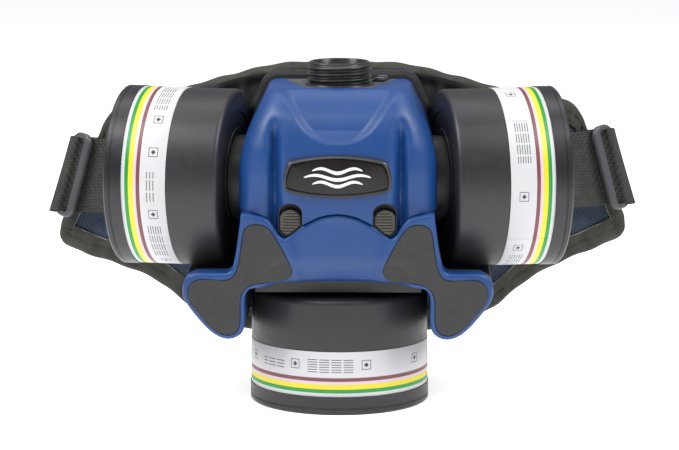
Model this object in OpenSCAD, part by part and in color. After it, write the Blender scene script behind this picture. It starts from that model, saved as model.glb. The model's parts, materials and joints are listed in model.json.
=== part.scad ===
// Belt-worn powered air respirator: a blower unit with three screw-in filter
// canisters, a slide-off battery, a hose outlet on top and a padded waist belt.
// Origin: centre of the bottom filter's base. +Z up, -Y faces away from the
// wearer, +X is the right-hand side seen from the front.

/* [Filter canisters] */
// Diameter of a canister
filter_d = 108; // [100:1:114]
// Length of a canister, from its outer face to its shoulder
filter_len = 70; // [62:1:84]
// Length of the cap on a canister's outer end
cap_len = 11; // [9:0.5:14]
// How far the cap stands proud of the canister's side
cap_proud = 0.75; // [0.4:0.05:1.2]
// Where the printed sleeve ends, from the outer face
label_end = 38.6; // [30:0.2:46]
// Outer radius of the screw neck
neck_r = 20; // [18:0.5:22]
// Length of the screw neck
neck_len = 14; // [11:0.5:15]
// How far the side canisters lean back, in degrees
filter_yaw = 11; // [8:0.5:13]
// Half the distance between the side canisters' shoulders
side_port_x = 62; // [61:0.5:66]

/* [Blower housing] */
// Width of the blue cover
cover_w = 118.6; // [112:0.2:119]
// Wall of the covers
wall = 2.5; // [1.8:0.1:3]
// Front face of the blue cover, ahead of the port axes
front_y = 57; // [52:1:66]
// How far behind a canister's neck the blue cover meets the rear housing
split_gap = 8; // [5:0.5:11]
// Back face of the rear housing
back_y = 58.5; // [56:0.5:66]
// Height of the flat top above the side ports' axis
crown_h = 57.5; // [55:0.5:64]

/* [Hose outlet] */
// Crest radius of the outlet's round thread
thread_r = 20; // [18:0.5:22]
// Pitch of the round thread
thread_pitch = 3.629; // [3:0.001:4]
// Depth of the round thread
thread_depth = 1.8; // [1:0.1:2]
// Bore radius of the outlet
outlet_bore_r = 16; // [13:0.5:16.5]
// How far the outlet stands above the top panel
outlet_h = 14; // [12:0.5:20]

/* [Blower] */
// Radius of the fan chamber
scroll_r = 35; // [31:0.5:36]
// Radius of the impeller
impeller_r = 30; // [26:0.5:30]
// Depth of the fan chamber, front to back
scroll_depth = 26; // [22:1:27]
// Radius of the motor
motor_r = 17; // [12:0.5:18]
// Number of impeller blades
blade_count = 24; // [12:1:32]

/* [Battery] */
// Front face of the battery, ahead of the port axes
battery_front_y = 58; // [55:1:67]
// Thickness of the battery's front panel
panel_t = 17.4; // [15:0.2:18]
// How far back the two cell lobes reach
lobe_back_y = 35; // [33:1:45]
// Wall of the battery case
case_wall = 1.2; // [1:0.05:1.25]
// Diameter of a battery cell
cell_d = 18.1; // [16:0.1:18.2]
// Length of a battery cell
cell_len = 65; // [60:1:66]
// Thickness of the soft grip pads
grip_t = 1.6; // [1:0.1:2]

/* [Belt] */
// Half the flat middle of the belt, measured along it
belt_flat = 50; // [40:1:60]
// Radius to which the belt is curved
belt_r = 170; // [150:1:210]
// Where the belt's wings begin, measured along it
wing_start = 100; // [90:1:112]
// Thickness of the padding
pad_t = 14; // [10:0.5:18]
// Thickness of the curved back plate
plate_t = 3.1; // [2:0.1:3.2]
// How far a wing's lower edge leans out at its tip, in degrees
lean_max = 17; // [8:0.5:18]
// Width of the webbing
webbing_w = 50; // [40:1:50]
// Thickness of the webbing
webbing_t = 1.6; // [1.2:0.1:2]

/* [Hidden] */
$fn = 64;
clear = 0.25;            // gap between pieces that don't move on each other
run = 0.3;               // gap around a canister's neck
seal_t = 1.7;            // thickness of a port's sealing ring
skin = 0.05;             // gap between faces that rest on each other
far = 400;               // longer than the whole unit
filter_r = filter_d / 2;
cap_r = filter_r + cap_proud;
canister_wall = 1.6;
neck_wall = 3;
deck_z = filter_len;                           // the bottom filter's shoulder
belly_z = deck_z + 2.2;                        // underside of the housing
lobe_top_z = deck_z + 10.5;                    // top of the battery's lobes
axis_z = lobe_top_z + 2 + filter_r;            // axis of the side filters
top_z = axis_z + crown_h;
tray_top_z = axis_z - 18.5;
half_w = cover_w / 2;
split_y = neck_r + split_gap;                  // where the two housings meet
insert_r = neck_r + 6;
insert_len = neck_len + 3;
flange_r = insert_r + 2.5;
flange_t = 2;
flange_z = -13;                                // flange's inner face, from the shoulder
scroll_y = -5;                                 // front of the fan chamber
scroll_wall = 2;
duct_r = outlet_bore_r + scroll_wall + 0.5;
duct_top_z = top_z - 16;
port_top_z = deck_z + seal_t + 0.1 + insert_len;   // top of the bottom port's insert
fan_z = (port_top_z + duct_top_z) / 2 + 0.1;   // midway between port and duct
wing_shift = filter_r - 54;                    // keeps the battery's wings clear of the bottom filter
key_back = 1.6 * (thread_r - 20);              // keeps the keys clear of the outlet's foot
outlet_top_z = top_z + outlet_h;
outlet_gasket_t = 1;
panel_thick = 2.4;
panel_z = top_z - 0.1 - panel_thick;
tray_w = filter_r - 4;                         // half width of the rear housing
tray_front_y = -38;
panel_back_y = panel_t - battery_front_y;      // back face of the battery's panel
plate_y = back_y + skin;                       // front of the curved plate
belt_y = plate_y + plate_t + 0.35;             // front of the padding
latch_x = 28;
latch_travel = 3;
pocket_depth = 5;
stem_z = axis_z - 17.4;                        // foot of a latch's stem
stem_h = 6;
key_r = 3;
key_travel = 0.8;
key_spots = [[24.2, 15.5 + key_back], [26.2, 27 + key_back]];
indicator_spot = [-25.3, 13 + key_back];
cover_screw_x = 36.5;
cover_screw_z = top_z - 10;
plate_screw_x = tray_w - 10;
board_w = tray_w - 14;                         // half width of the circuit board
plate_screws_z = [deck_z + 20, top_z - 20];
screw_r = 1.5;
screw_head_r = 3;
grille_rings = [[14, 6], [26, 12], [38, 18]];
grille_hole_r = 2.4;
carbon_len = 40;
pleat_count = 20;
lean_centre_z = axis_z - 11.5;

// ---- places -------------------------------------------------------------

// Puts local +Z on a side port's outward axis, shoulder at the origin.
module at_side(side) {
  turn = side > 0 ? filter_yaw : 180 - filter_yaw;
  translate([side * side_port_x, 0, axis_z])
    rotate([0, 90, turn])
      children();
}

// Puts local +Z on the bottom port's outward axis, which points down.
module at_bottom() {
  translate([0, 0, deck_z])
    rotate([180, 0, 0])
      children();
}

// Extrudes an (x, z) outline from y0 back to y1.
module along_y(y0, y1) {
  translate([0, y1, 0])
    rotate([90, 0, 0])
      linear_extrude(y1 - y0)
        children();
}

// Adds the mirrored half of an outline that starts and ends at x = 0.
function both_sides(half) = concat(
  half, [for (i = [len(half) - 1:-1:0]) if (half[i][0] > 0) [-half[i][0], half[i][1]]]);

// ---- filter canister, in its port's local frame -------------------------

module seal_ring() {
  color("dimgray")
    translate([0, 0, -seal_t - skin])
      difference() {
        cylinder(r = insert_r - 0.5, h = seal_t);
        translate([0, 0, -1])
          cylinder(r = neck_r + 0.6, h = seal_t + 2);
      }
}

// Canister side, rounded shoulder and screw neck, turned as one profile.
module canister_shell() {
  shell_end = filter_len - cap_len - skin;
  shoulder = 3;
  color("#1b1c1f")
    rotate_extrude($fn = 96)
      polygon([
        [neck_r - neck_wall, -neck_len], [neck_r, -neck_len], [neck_r, 0],
        [filter_r - shoulder, 0], [filter_r - 0.9, 0.9], [filter_r, shoulder],
        [filter_r, shell_end], [filter_r - canister_wall, shell_end],
        [filter_r - canister_wall, shoulder], [neck_r - neck_wall, shoulder]
      ]);
}

// Outer end cap with a standing rim and a field of inlet holes.
module canister_cap() {
  start = filter_len - cap_len;
  sunk = 1.4;
  color("#1b1c1f")
    difference() {
      rotate_extrude($fn = 96)
        polygon([
          [0, filter_len - sunk - 2], [filter_r - canister_wall, filter_len - sunk - 2],
          [filter_r - canister_wall, start], [cap_r, start],
          [cap_r, filter_len - 4.4], [cap_r - 0.35, filter_len - 4.1],
          [cap_r - 0.35, filter_len - 3.6], [cap_r, filter_len - 3.3],
          [cap_r, filter_len - 1], [cap_r - 1, filter_len],
          [filter_r - 5, filter_len], [filter_r - 6.5, filter_len - sunk],
          [0, filter_len - sunk]
        ]);
      for (ring = grille_rings)
        for (i = [0:ring[1] - 1])
          rotate(i * 360 / ring[1])
            translate([ring[0], 0, filter_len - sunk - 3])
              cylinder(r = grille_hole_r, h = 5, $fn = 24);
    }
}

module canister_label() {
  label_t = 0.28;
  start = filter_len - label_end;
  color("white")
    translate([0, 0, start])
      difference() {
        cylinder(r = filter_r + 0.02 + label_t, h = label_end - cap_len - skin, $fn = 96);
        translate([0, 0, -1])
          cylinder(r = filter_r + 0.02, h = label_end, $fn = 96);
      }
}

module carbon_bed() {
  color("#222222")
    translate([0, 0, 4])
      cylinder(r = filter_r - canister_wall - 0.9, h = carbon_len);
}

// Folded particle filter: a zigzag sheet trimmed round.
module particle_pleats() {
  pleat_r = filter_r - canister_wall - 0.9;
  start = 4 + carbon_len + 0.5;
  pleat_h = filter_len - 3.6 - start - 1;
  step = 2 * pleat_r / pleat_count;
  sheet = 0.8;
  low = [for (i = [0:pleat_count])
    [-pleat_r + i * step, (i % 2) * (pleat_h - sheet)]];
  high = [for (i = [pleat_count:-1:0]) [low[i][0], low[i][1] + sheet]];
  color("#e8e4d8")
    translate([0, 0, start])
      intersection() {
        rotate([90, 0, 0])
          linear_extrude(3 * pleat_r, center = true)
            polygon(concat(low, high));
        cylinder(r = pleat_r, h = pleat_h);
      }
}

module left_seal() { at_side(-1) seal_ring(); }
module left_shell() { at_side(-1) canister_shell(); }
module left_cap() { at_side(-1) canister_cap(); }
module left_label() { at_side(-1) canister_label(); }
module left_carbon() { at_side(-1) carbon_bed(); }
module left_pleats() { at_side(-1) particle_pleats(); }
module right_seal() { at_side(1) seal_ring(); }
module right_shell() { at_side(1) canister_shell(); }
module right_cap() { at_side(1) canister_cap(); }
module right_label() { at_side(1) canister_label(); }
module right_carbon() { at_side(1) carbon_bed(); }
module right_pleats() { at_side(1) particle_pleats(); }
module bottom_seal() { at_bottom() seal_ring(); }
module bottom_shell() { at_bottom() canister_shell(); }
module bottom_cap() { at_bottom() canister_cap(); }
module bottom_label() { at_bottom() canister_label(); }
module bottom_carbon() { at_bottom() carbon_bed(); }
module bottom_pleats() { at_bottom() particle_pleats(); }

// ---- ports --------------------------------------------------------------

// Tube that a canister's neck goes into, with a flange behind the wall.
module port_insert() {
  color("#202124")
    difference() {
      union() {
        translate([0, 0, -seal_t - 0.1 - insert_len])
          cylinder(r = insert_r, h = insert_len);
        translate([0, 0, flange_z])
          cylinder(r = flange_r, h = flange_t);
      }
      translate([0, 0, -far / 2])
        cylinder(r = neck_r + run, h = far);
    }
}

module port_insert_left() { at_side(-1) port_insert(); }
module port_insert_right() { at_side(1) port_insert(); }
module port_insert_bottom() { at_bottom() port_insert(); }

// Hole for an insert, stepped on the inside for its flange.
module port_hole() {
  inner = -insert_len - 6;
  translate([0, 0, inner])
    cylinder(r = insert_r + clear, h = 40);
  translate([0, 0, inner])
    cylinder(r = flange_r + clear, h = flange_z + flange_t + skin - inner);
}

module port_holes() {
  for (side = [-1, 1])
    at_side(side)
      port_hole();
  at_bottom()
    port_hole();
}

// Everything outside a plane that lies `depth` inside the side canisters' faces.
module beyond_sides(depth) {
  for (side = [-1, 1])
    at_side(side)
      translate([-far / 2, -far / 2, -depth])
        cube(far);
}

// ---- blower covers ------------------------------------------------------

// Line where the blue cover meets the battery, from the middle outwards.
parting = [[0, -13.6], [11.3, -15.6], [21.3, -20.7], [31.3, -28],
           [36.2, -25], [42, -16.5], [48.5, -14.3], [58.5, -13.1]];

// Side and top of the blue cover's front view, from the bottom corner upwards.
shoulder_line = [[1, -12.9], [1, 13.5], [0.961, 25.5], [0.848, 41.5],
                 [0.725, 53.5], [0.607, crown_h], [0, crown_h]];

module cover_outline() {
  translate([0, axis_z])
    polygon(both_sides(concat(
      parting, [for (p = shoulder_line) [p[0] * half_w, p[1]]])));
}

// The cover's front view with a flat foot, used behind the battery panel.
module cover_rear_outline() {
  intersection() {
    union() {
      cover_outline();
      translate([-half_w, tray_top_z + skin])
        square([cover_w, 20]);
    }
    translate([-far / 2, tray_top_z + skin])
      square([far, far]);
  }
}

// Side view: upright face, then a slope that meets the flat top.
module cover_side_view(inset) {
  rotate([90, 0, 90])
    linear_extrude(far, center = true)
      offset(delta = -inset)
        polygon([
          [-front_y, belly_z], [-front_y, axis_z + 31], [-front_y + 6, axis_z + 43],
          [-front_y + 38 - thread_r, axis_z + 52], [-thread_r - 4, top_z],
          [far, top_z], [far, belly_z]
        ]);
}

module top_panel_outline(grow) {
  offset(delta = grow)
    polygon(both_sides([[0, -thread_r - 2], [thread_r - 1, -thread_r - 2],
                        [33.5, 24], [33.5, 46], [0, 46]]));
}

// Screw posts, each hung from the top wall by a web.
module screw_boss(y0, y1) {
  for (side = [-1, 1])
    difference() {
      union() {
        translate([side * cover_screw_x, y1, cover_screw_z])
          rotate([90, 0, 0])
            cylinder(r = 4, h = y1 - y0);
        translate([side * (cover_screw_x - 1.2) - 1, y0, cover_screw_z + 3])
          cube([2, y1 - y0, top_z - wall / 2 - cover_screw_z - 3]);
      }
      translate([side * cover_screw_x, y1 + 1, cover_screw_z])
        rotate([90, 0, 0])
          cylinder(r = screw_r + 0.1, h = y1 - y0 + 2);
    }
}

module latch_outline(grow) {
  offset(delta = grow)
    translate([0, axis_z - 28])
      polygon([[-6.6, 8.2], [3.3, 1.8], [6.4, 4.1], [6.4, 14.5],
               [5, 17.6], [0, 19.4], [-5, 17.6], [-6.6, 14.5]]);
}

// Pocket for a latch button, deeper towards the top by its travel.
module latch_pocket(side) {
  translate([side * latch_x, 0, 0])
    mirror([side > 0 ? 0 : 1, 0, 0]) {
      for (lift = [0, latch_travel + 0.6])
        along_y(-front_y - 5, -front_y + pocket_depth)
          translate([0, lift])
            latch_outline(0.3);
      along_y(-front_y - 5, -front_y + 12)
        translate([-3.4, stem_z - 0.3])
          square([6.8, stem_h + latch_travel + 0.6]);
    }
}

module front_cover() {
  front_zone = tray_front_y - 0.4;
  color("#1d3f7a")
    difference() {
      union() {
        difference() {
          intersection() {
            union() {
              along_y(-front_y, front_zone)
                cover_outline();
              along_y(front_zone, split_y)
                cover_rear_outline();
            }
            cover_side_view(0);
          }
          beyond_sides(seal_t + 0.5);
          // inside of the front zone
          difference() {
            along_y(-front_y + wall, front_zone - wall)
              intersection() {
                offset(delta = -wall)
                  cover_outline();
                translate([-far / 2, belly_z])
                  square([far, top_z - wall - belly_z]);
              }
            beyond_sides(seal_t + 0.5 + wall);
            difference() {
              translate([-far / 2, -far / 2, 0])
                cube(far);
              cover_side_view(wall);
            }
          }
          // inside of the rear zone
          difference() {
            along_y(front_zone - wall - 1, split_y + 1)
              intersection() {
                offset(delta = -wall)
                  cover_rear_outline();
                translate([-far / 2, axis_z - 10])
                  square([far, top_z - wall - axis_z + 10]);
              }
            beyond_sides(seal_t + 0.5 + wall);
            difference() {
              translate([-far / 2, -far / 2, 0])
                cube(far);
              cover_side_view(wall);
            }
          }
          // opening down into the lower housing
          translate([-tray_w + wall, tray_front_y + wall, belly_z])
            cube([2 * (tray_w - wall), far, axis_z - 9 - belly_z]);
        }
        // floors of the latch pockets
        for (side = [-1, 1])
          intersection() {
            translate([side * latch_x - 9, -front_y + 1, axis_z - 30])
              cube([18, pocket_depth + 1.5, 28]);
            along_y(-front_y, front_zone)
              cover_outline();
          }
        screw_boss(split_y - 12, split_y - 0.2);
      }
      for (side = [-1, 1])
        latch_pocket(side);
      port_holes();
      translate([0, 0, top_z - 10])
        linear_extrude(20)
          top_panel_outline(clear);
    }
}

// Black rear half: upper shell behind the blue cover, tray below it.
module rear_housing() {
  split = split_y + 0.1;
  rear_half = [[0, belly_z], [tray_w - 4, belly_z], [tray_w, belly_z + 4],
               [tray_w, axis_z + 40], [43, top_z - 5], [36, top_z], [0, top_z]];
  color("#17181a")
    difference() {
      union() {
        difference() {
          union() {
            along_y(split, back_y)
              polygon(both_sides(rear_half));
            translate([-tray_w, tray_front_y, belly_z])
              cube([2 * tray_w, split + 1 - tray_front_y, tray_top_z - belly_z]);
          }
          beyond_sides(seal_t + 0.5);
          difference() {
            along_y(split - 1, back_y - wall)
              offset(delta = -wall)
                polygon(both_sides(rear_half));
            beyond_sides(seal_t + 0.5 + wall);
          }
          translate([-tray_w + wall, tray_front_y + wall, belly_z + wall])
            cube([2 * (tray_w - wall), split + 2 - tray_front_y - wall, far]);
        }
        screw_boss(split + 0.1, back_y);
        plate_bosses();
      }
      for (side = [-1, 1])
        translate([side * cover_screw_x, back_y + 1, cover_screw_z])
          rotate([90, 0, 0])
            cylinder(r = screw_head_r + 0.2, h = 4);
      for (side = [-1, 1])
        for (z = plate_screws_z)
          translate([side * plate_screw_x, back_y + 1, z])
            rotate([90, 0, 0])
              cylinder(r = screw_r + 0.1, h = 11);
      port_holes();
      socket_window(0.2);
      translate([0, 0, top_z - 10])
        linear_extrude(20)
          top_panel_outline(clear);
    }
}

module plate_bosses() {
  for (side = [-1, 1])
    for (z = plate_screws_z)
      translate([side * plate_screw_x, back_y - 0.5, z])
        rotate([90, 0, 0])
          cylinder(r = 4, h = 9);
}

module top_panel() {
  color("#3a3d42")
    translate([0, 0, panel_z])
      difference() {
        linear_extrude(panel_thick)
          top_panel_outline(0);
        translate([0, 0, -1])
          cylinder(r = thread_r + 1, h = panel_thick + 2);
        for (spot = key_spots)
          translate([spot[0], spot[1], -1])
            cylinder(r = key_r + 0.1, h = panel_thick + 2);
        translate([indicator_spot[0] - 1.6, indicator_spot[1] - 6.1, -1])
          cube([3.2, 12.2, panel_thick + 2]);
      }
}

module indicator_lens() {
  color("#9fd8b0")
    translate([indicator_spot[0] - 1.5, indicator_spot[1] - 6, panel_z])
      cube([3, 12, panel_thick + 0.2]);
}

module keypad_bezel() {
  color("#2a2c30")
    translate([0, 0, panel_z + panel_thick + skin])
      difference() {
        linear_extrude(1.2)
          offset(r = 2, $fn = 24)
            translate([0, key_back])
              polygon([[21.8, 13], [25.8, 13], [29, 30], [23.5, 30]]);
        for (spot = key_spots)
          translate([spot[0], spot[1], -1])
            cylinder(r = key_r + 0.1, h = 4);
      }
}

module key(spot) {
  stem_z = panel_z - 1.6;
  color("#4a4d52")
    translate([spot[0], spot[1], stem_z]) {
      cylinder(r = key_r, h = panel_z + panel_thick + 2.2 - stem_z);
      cylinder(r = key_r + 1.2, h = 0.9);
    }
}

module power_key() { key(key_spots[0]); }
module flow_key() { key(key_spots[1]); }

// Outlet spigot with a round thread, shown in section as rings of one pitch.
module hose_outlet() {
  low = duct_top_z + outlet_gasket_t + skin;
  root_r = thread_r - thread_depth;
  thread_low = top_z + 0.8;
  turns = floor((outlet_top_z - thread_low - 0.6) / thread_pitch);
  steps = 6;
  ridges = [for (i = [0:turns * steps])
    [root_r + thread_depth * (0.5 - 0.5 * cos(i * 360 / steps)),
     thread_low + i * thread_pitch / steps]];
  color("#141517")
    rotate_extrude($fn = 96)
      polygon(concat(
        [[outlet_bore_r, low], [root_r + 1, low], [root_r + 1, panel_z - 2.4],
         [thread_r + 4, panel_z - 2.4], [thread_r + 4, panel_z - 0.2],
         [root_r, panel_z - 0.2]],
        ridges,
        [[root_r, outlet_top_z - 0.6], [root_r - 0.6, outlet_top_z],
         [outlet_bore_r, outlet_top_z]]));
}

module outlet_gasket() {
  color("#2f3033")
    translate([0, 0, duct_top_z + skin / 2])
      difference() {
        cylinder(r = duct_r, h = outlet_gasket_t);
        translate([0, 0, -1])
          cylinder(r = outlet_bore_r + 1, h = outlet_gasket_t + 2);
      }
}

// ---- inside the blower --------------------------------------------------

module y_cylinder(r, y0, y1, z) {
  translate([0, y1, z])
    rotate([90, 0, 0])
      cylinder(r = r, h = y1 - y0);
}

// Fan chamber with its inlet eye in front and its duct rising to the outlet.
module fan_scroll() {
  back = scroll_y + scroll_depth;
  duct_low = fan_z + scroll_r * 0.8;
  color("#33363b")
    difference() {
      union() {
        y_cylinder(scroll_r + scroll_wall, scroll_y - scroll_wall, back + scroll_wall, fan_z);
        translate([0, 0, duct_low])
          cylinder(r = duct_r, h = duct_top_z - duct_low);
      }
      y_cylinder(scroll_r, scroll_y, back, fan_z);
      translate([0, 0, fan_z + scroll_r * 0.7])
        cylinder(r = outlet_bore_r, h = far);
      y_cylinder(impeller_r * 0.6, scroll_y - 20, scroll_y + 1, fan_z);
      y_cylinder(3.5, back - 1, back + 20, fan_z);
    }
}

module impeller() {
  hub_r = 7;
  front = scroll_y + 2.5;
  back = scroll_y + scroll_depth - 2.5;
  ring_t = 1.4;
  blade_len = impeller_r * 0.34;
  color("#d9dadb") {
    difference() {
      y_cylinder(impeller_r, front, front + ring_t, fan_z);
      y_cylinder(impeller_r - blade_len, front - 1, front + 3, fan_z);
    }
    y_cylinder(impeller_r, back - ring_t, back, fan_z);
    y_cylinder(hub_r, back - 12, back - ring_t / 2, fan_z);
    y_cylinder(2, back - 14, back + 16, fan_z);
    for (i = [0:blade_count - 1])
      translate([0, 0, fan_z])
        rotate([0, i * 360 / blade_count, 0])
          translate([impeller_r - blade_len + 0.6, front + ring_t / 2, 0])
            rotate([0, 28, 0])
              cube([blade_len * 0.86, back - front - ring_t, 1.1]);
  }
}

module motor() {
  front = scroll_y + scroll_depth + scroll_wall + 0.2;
  color("#a9adb3")
    difference() {
      y_cylinder(motor_r, front, front + 20, fan_z);
      y_cylinder(2.05, front - 1, front + 15, fan_z);
    }
}

module circuit_board() {
  front = back_y - wall - 6;
  low = deck_z + 26.5;                         // clear of the lower plate screws
  color("#1f5f3a")
    union() {
      translate([-board_w, front, low])
        cube([2 * board_w, 1.6, axis_z + 36 - low]);
      translate([-board_w + 8, front - 2.2, low + 6])
        cube([14, 2.3, 12]);
      translate([board_w - 28, front - 3, low + 4])
        cube([20, 3.1, 7]);
      translate([-board_w + 6, front - 1.6, axis_z + 22])
        cube([9, 1.7, 9]);
    }
}

module buzzer() {
  front = back_y - wall - 6;
  color("#111111")
    translate([board_w - 14, front - 0.05, axis_z + 26])
      rotate([90, 0, 0])
        cylinder(r = 6, h = 5);
}

module socket_window(grow) {
  translate([-13 - grow, tray_front_y - 5, deck_z + 24 - grow])
    cube([26 + 2 * grow, 14, 14 + 2 * grow]);
}

contact_spots = [-8, -3, 3, 8];

module battery_socket() {
  color("#101113")
    difference() {
      union() {
        translate([-13, tray_front_y + 0.2, deck_z + 24])
          cube([26, 8, 14]);
        translate([-15, tray_front_y + wall + 0.1, deck_z + 22])
          cube([30, 2, 18]);
      }
      for (x = contact_spots)
        translate([x - 1, tray_front_y - 1, deck_z + 27.5])
          cube([2, 7, 7]);
    }
}

// ---- badge, screws, latches --------------------------------------------

// Lens outline: bowed top and bottom, leaning ends.
module badge_outline(grow) {
  half = 31 + grow;
  steps = 12;
  top = [for (i = [-steps:steps])
    [half * 0.93 * i / steps, 18 + grow + 4 * (1 - pow(i / steps, 2))]];
  low = [for (i = [steps:-1:-steps])
    [half * i / steps, 0.5 - grow - 4 * (1 - pow(i / steps, 2))]];
  translate([0, axis_z])
    polygon(concat(top, low));
}

module badge_frame() {
  color("#26282c")
    difference() {
      along_y(-front_y - 2.2, -front_y - skin)
        badge_outline(1.5);
      along_y(-front_y - 3, -front_y - 0.8)
        badge_outline(-0.4);
    }
}

module badge_plate() {
  color("#060607")
    along_y(-front_y - 1.9, -front_y - 0.85)
      badge_outline(-0.6);
}

module cover_screws() {
  color("#9a9ca0")
    for (side = [-1, 1])
      translate([side * cover_screw_x, back_y - 0.2, cover_screw_z])
        rotate([90, 0, 0]) {
          cylinder(r = screw_r, h = back_y - split_y + 9);
          cylinder(r = screw_head_r, h = 2.6);
        }
}

module plate_screws() {
  color("#9a9ca0")
    for (side = [-1, 1])
      for (z = plate_screws_z)
        translate([side * plate_screw_x, plate_y + plate_t - 0.1, z])
          rotate([90, 0, 0]) {
            cylinder(r = screw_r, h = 12);
            cylinder(r = screw_head_r, h = 1.6);
          }
}

// Ribbed button, its stem through the cover and the plate that keeps it in.
module latch(side) {
  face_y = -front_y - 0.3;
  keeper_y = -front_y + pocket_depth + 2.8;
  color("#6d675f")
    translate([side * latch_x, 0, 0])
      mirror([side > 0 ? 0 : 1, 0, 0]) {
        along_y(face_y, -front_y + pocket_depth - 0.4)
          latch_outline(0);
        for (i = [0:6])
          translate([-5.6, face_y - 0.9, axis_z - 21.3 + i * 1.8])
            cube([11.2, 1, 0.9]);
        along_y(-front_y + pocket_depth - 0.5, keeper_y + 0.1)
          translate([-3.1, stem_z])
            square([6.2, stem_h]);
        along_y(keeper_y, keeper_y + 1.5)
          translate([-5.5, stem_z])
            square([11, stem_h + 2]);
      }
}

module latch_left() { latch(-1); }
module latch_right() { latch(1); }

// ---- battery ------------------------------------------------------------

wing_half = [
  [57.2, -13.9], [57.9, -17.8], [60.4, -36.3], [62.9, -47.4], [66, -49.3],
  [84.8, -49.6], [90.1, -52.7], [92.8, -58.9], [92.8, -63.4], [90.2, -69.2],
  [87.6, -72.7], [81.1, -80.7], [75, -86.1], [68.9, -89.1], [64.5, -89.6],
  [60.2, -88.2], [56.4, -85.1], [55.2, -81.5], [55.2, -63.5], [52.2, -59.3],
  [45.7, -58.3], [31.4, -56.1], [0, -55.8]];

// Moves a point of the battery's lower part with the bottom filter's side.
function beside_filter(p) = p[1] > -45 ? p : [
  p[0] > 55.1 ? p[0] + wing_shift : p[0] * (55.2 + wing_shift) / 55.2, p[1] - wing_shift];

module battery_outline() {
  gap = 0.6;
  top = [for (p = parting) if (p[0] < 50) [p[0], p[1] - gap]];
  sides = [for (p = wing_half) beside_filter(p)];
  translate([0, axis_z])
    polygon(both_sides(concat(top, sides)));
}

// The part of the outline that runs back beside the bottom filter.
module lobe_outline(inset) {
  offset(delta = -inset - 0.05)
    intersection() {
      battery_outline();
      for (side = [-1, 1])
        translate([side * (75 + wing_shift) - 20, 0])
          square([40, lobe_top_z]);
    }
}

module battery_cover() {
  color("#1d3f7a")
    difference() {
      along_y(-battery_front_y, panel_back_y - 3)
        battery_outline();
      along_y(-battery_front_y + 2.4, panel_back_y)
        offset(delta = -case_wall - 0.9)
          battery_outline();
      for (side = [-1, 1])
        along_y(-battery_front_y - 1, -battery_front_y + 1.2)
          grip_outline(side, 0.15);
    }
}

module battery_case() {
  color("#1a1b1e")
    difference() {
      union() {
        along_y(panel_back_y - 2.95, panel_back_y)
          battery_outline();
        along_y(panel_back_y - 0.5, lobe_back_y)
          lobe_outline(0);
      }
      along_y(panel_back_y - 4, lobe_back_y - case_wall)
        lobe_outline(case_wall);
      along_y(panel_back_y - 4, panel_back_y + 1)
        translate([-11, deck_z + 26])
          square([22, 10]);
    }
}

cell_spots = [[65.6, -78.5], [79.2, -66.35]];

module battery_cells() {
  color("#7a3fa0")
    for (side = [-1, 1])
      for (spot = cell_spots)
        translate([side * (spot[0] + wing_shift), lobe_back_y - case_wall - 1,
                   axis_z + spot[1] - wing_shift])
          rotate([90, 0, 0])
            cylinder(r = cell_d / 2, h = cell_len);
}

module battery_contacts() {
  color("#c9a24a") {
    translate([-10.8, panel_back_y - 2.9, deck_z + 26.2])
      cube([21.6, 2.6, 9.6]);
    for (x = contact_spots)
      translate([x - 0.5, panel_back_y - 0.4, deck_z + 28.5])
        cube([1, tray_front_y + 5.4 - panel_back_y, 5]);
  }
}

// Bow-tie shape of a soft grip pad.
grip_half = [
  [56.1, -25.2], [53.8, -21.5], [49.4, -19.9], [43.3, -20.8], [39.3, -24.2],
  [32, -36.4], [27.8, -45.4], [27.4, -49.2], [29, -53], [34.4, -54.2],
  [43.5, -55.3], [51.4, -56.6], [55.6, -59.6], [57.8, -63], [58, -78.8],
  [59.2, -83.2], [62, -86.1], [66.2, -87], [72.4, -84.8], [79.8, -78],
  [87, -69.6], [89.2, -65.6], [89.2, -61.2], [87.5, -56.7], [84.3, -53.8],
  [66, -53.7], [62.1, -51.7], [59.6, -47.3], [57.6, -39.3], [56.4, -30.1]];

module grip_outline(side, grow) {
  offset(delta = grow)
    translate([0, axis_z])
      polygon([for (p = grip_half) [side * beside_filter(p)[0], beside_filter(p)[1]]]);
}

module grip(side) {
  color("#4a4b4e")
    along_y(-battery_front_y + 1.15 - grip_t, -battery_front_y + 1.15)
      grip_outline(side, 0);
}

module grip_left() { grip(-1); }
module grip_right() { grip(1); }

// ---- belt ---------------------------------------------------------------

// Height of the padding's edges and the plate's edges, by distance along the belt.
pad_top = [[0, 62.5], [30, 61.5], [71, 55.5], [84, 51.5], [98.6, 46.5],
           [168, 28], [200, 22]];
pad_low = [[0, -109.5], [55, -109.5], [97, -95.5], [128, -75.5], [167, -65.5],
           [200, -56.5]];
plate_top = [[0, 60.5], [20, 59.9], [41, 58.5], [53, 57.2], [71, 52.5],
             [85, 47.5], [125, 33], [150, 21.5]];
plate_low = [[0, -66], [60, -66], [100, -48], [125, -36], [150, -24]];
webbing_top = [[0, 25 + 0.5], [140, 12], [190, 4]];

function bend(s) = max(abs(s) - belt_flat, 0) / belt_r * 180 / PI;
function flank(s) = s < 0 ? -1 : 1;
function plan_x(s) = flank(s) * (min(abs(s), belt_flat) + belt_r * sin(bend(s)));
function plan_y(s) = belt_y + belt_r * (1 - cos(bend(s)));
function ease(u) = u <= 0 ? 0 : u >= 1 ? 1 : u * u * (3 - 2 * u);
function lean(s) = lean_max * ease((abs(s) - wing_start - 5) / 95);
// A point of the belt: s along it, height h, depth t behind its front face.
function on_belt(s, h, t) = let (out = (lean_centre_z - h) * tan(lean(s)) - t)
  [plan_x(s) + flank(s) * sin(bend(s)) * out, plan_y(s) - cos(bend(s)) * out, h];

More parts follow.
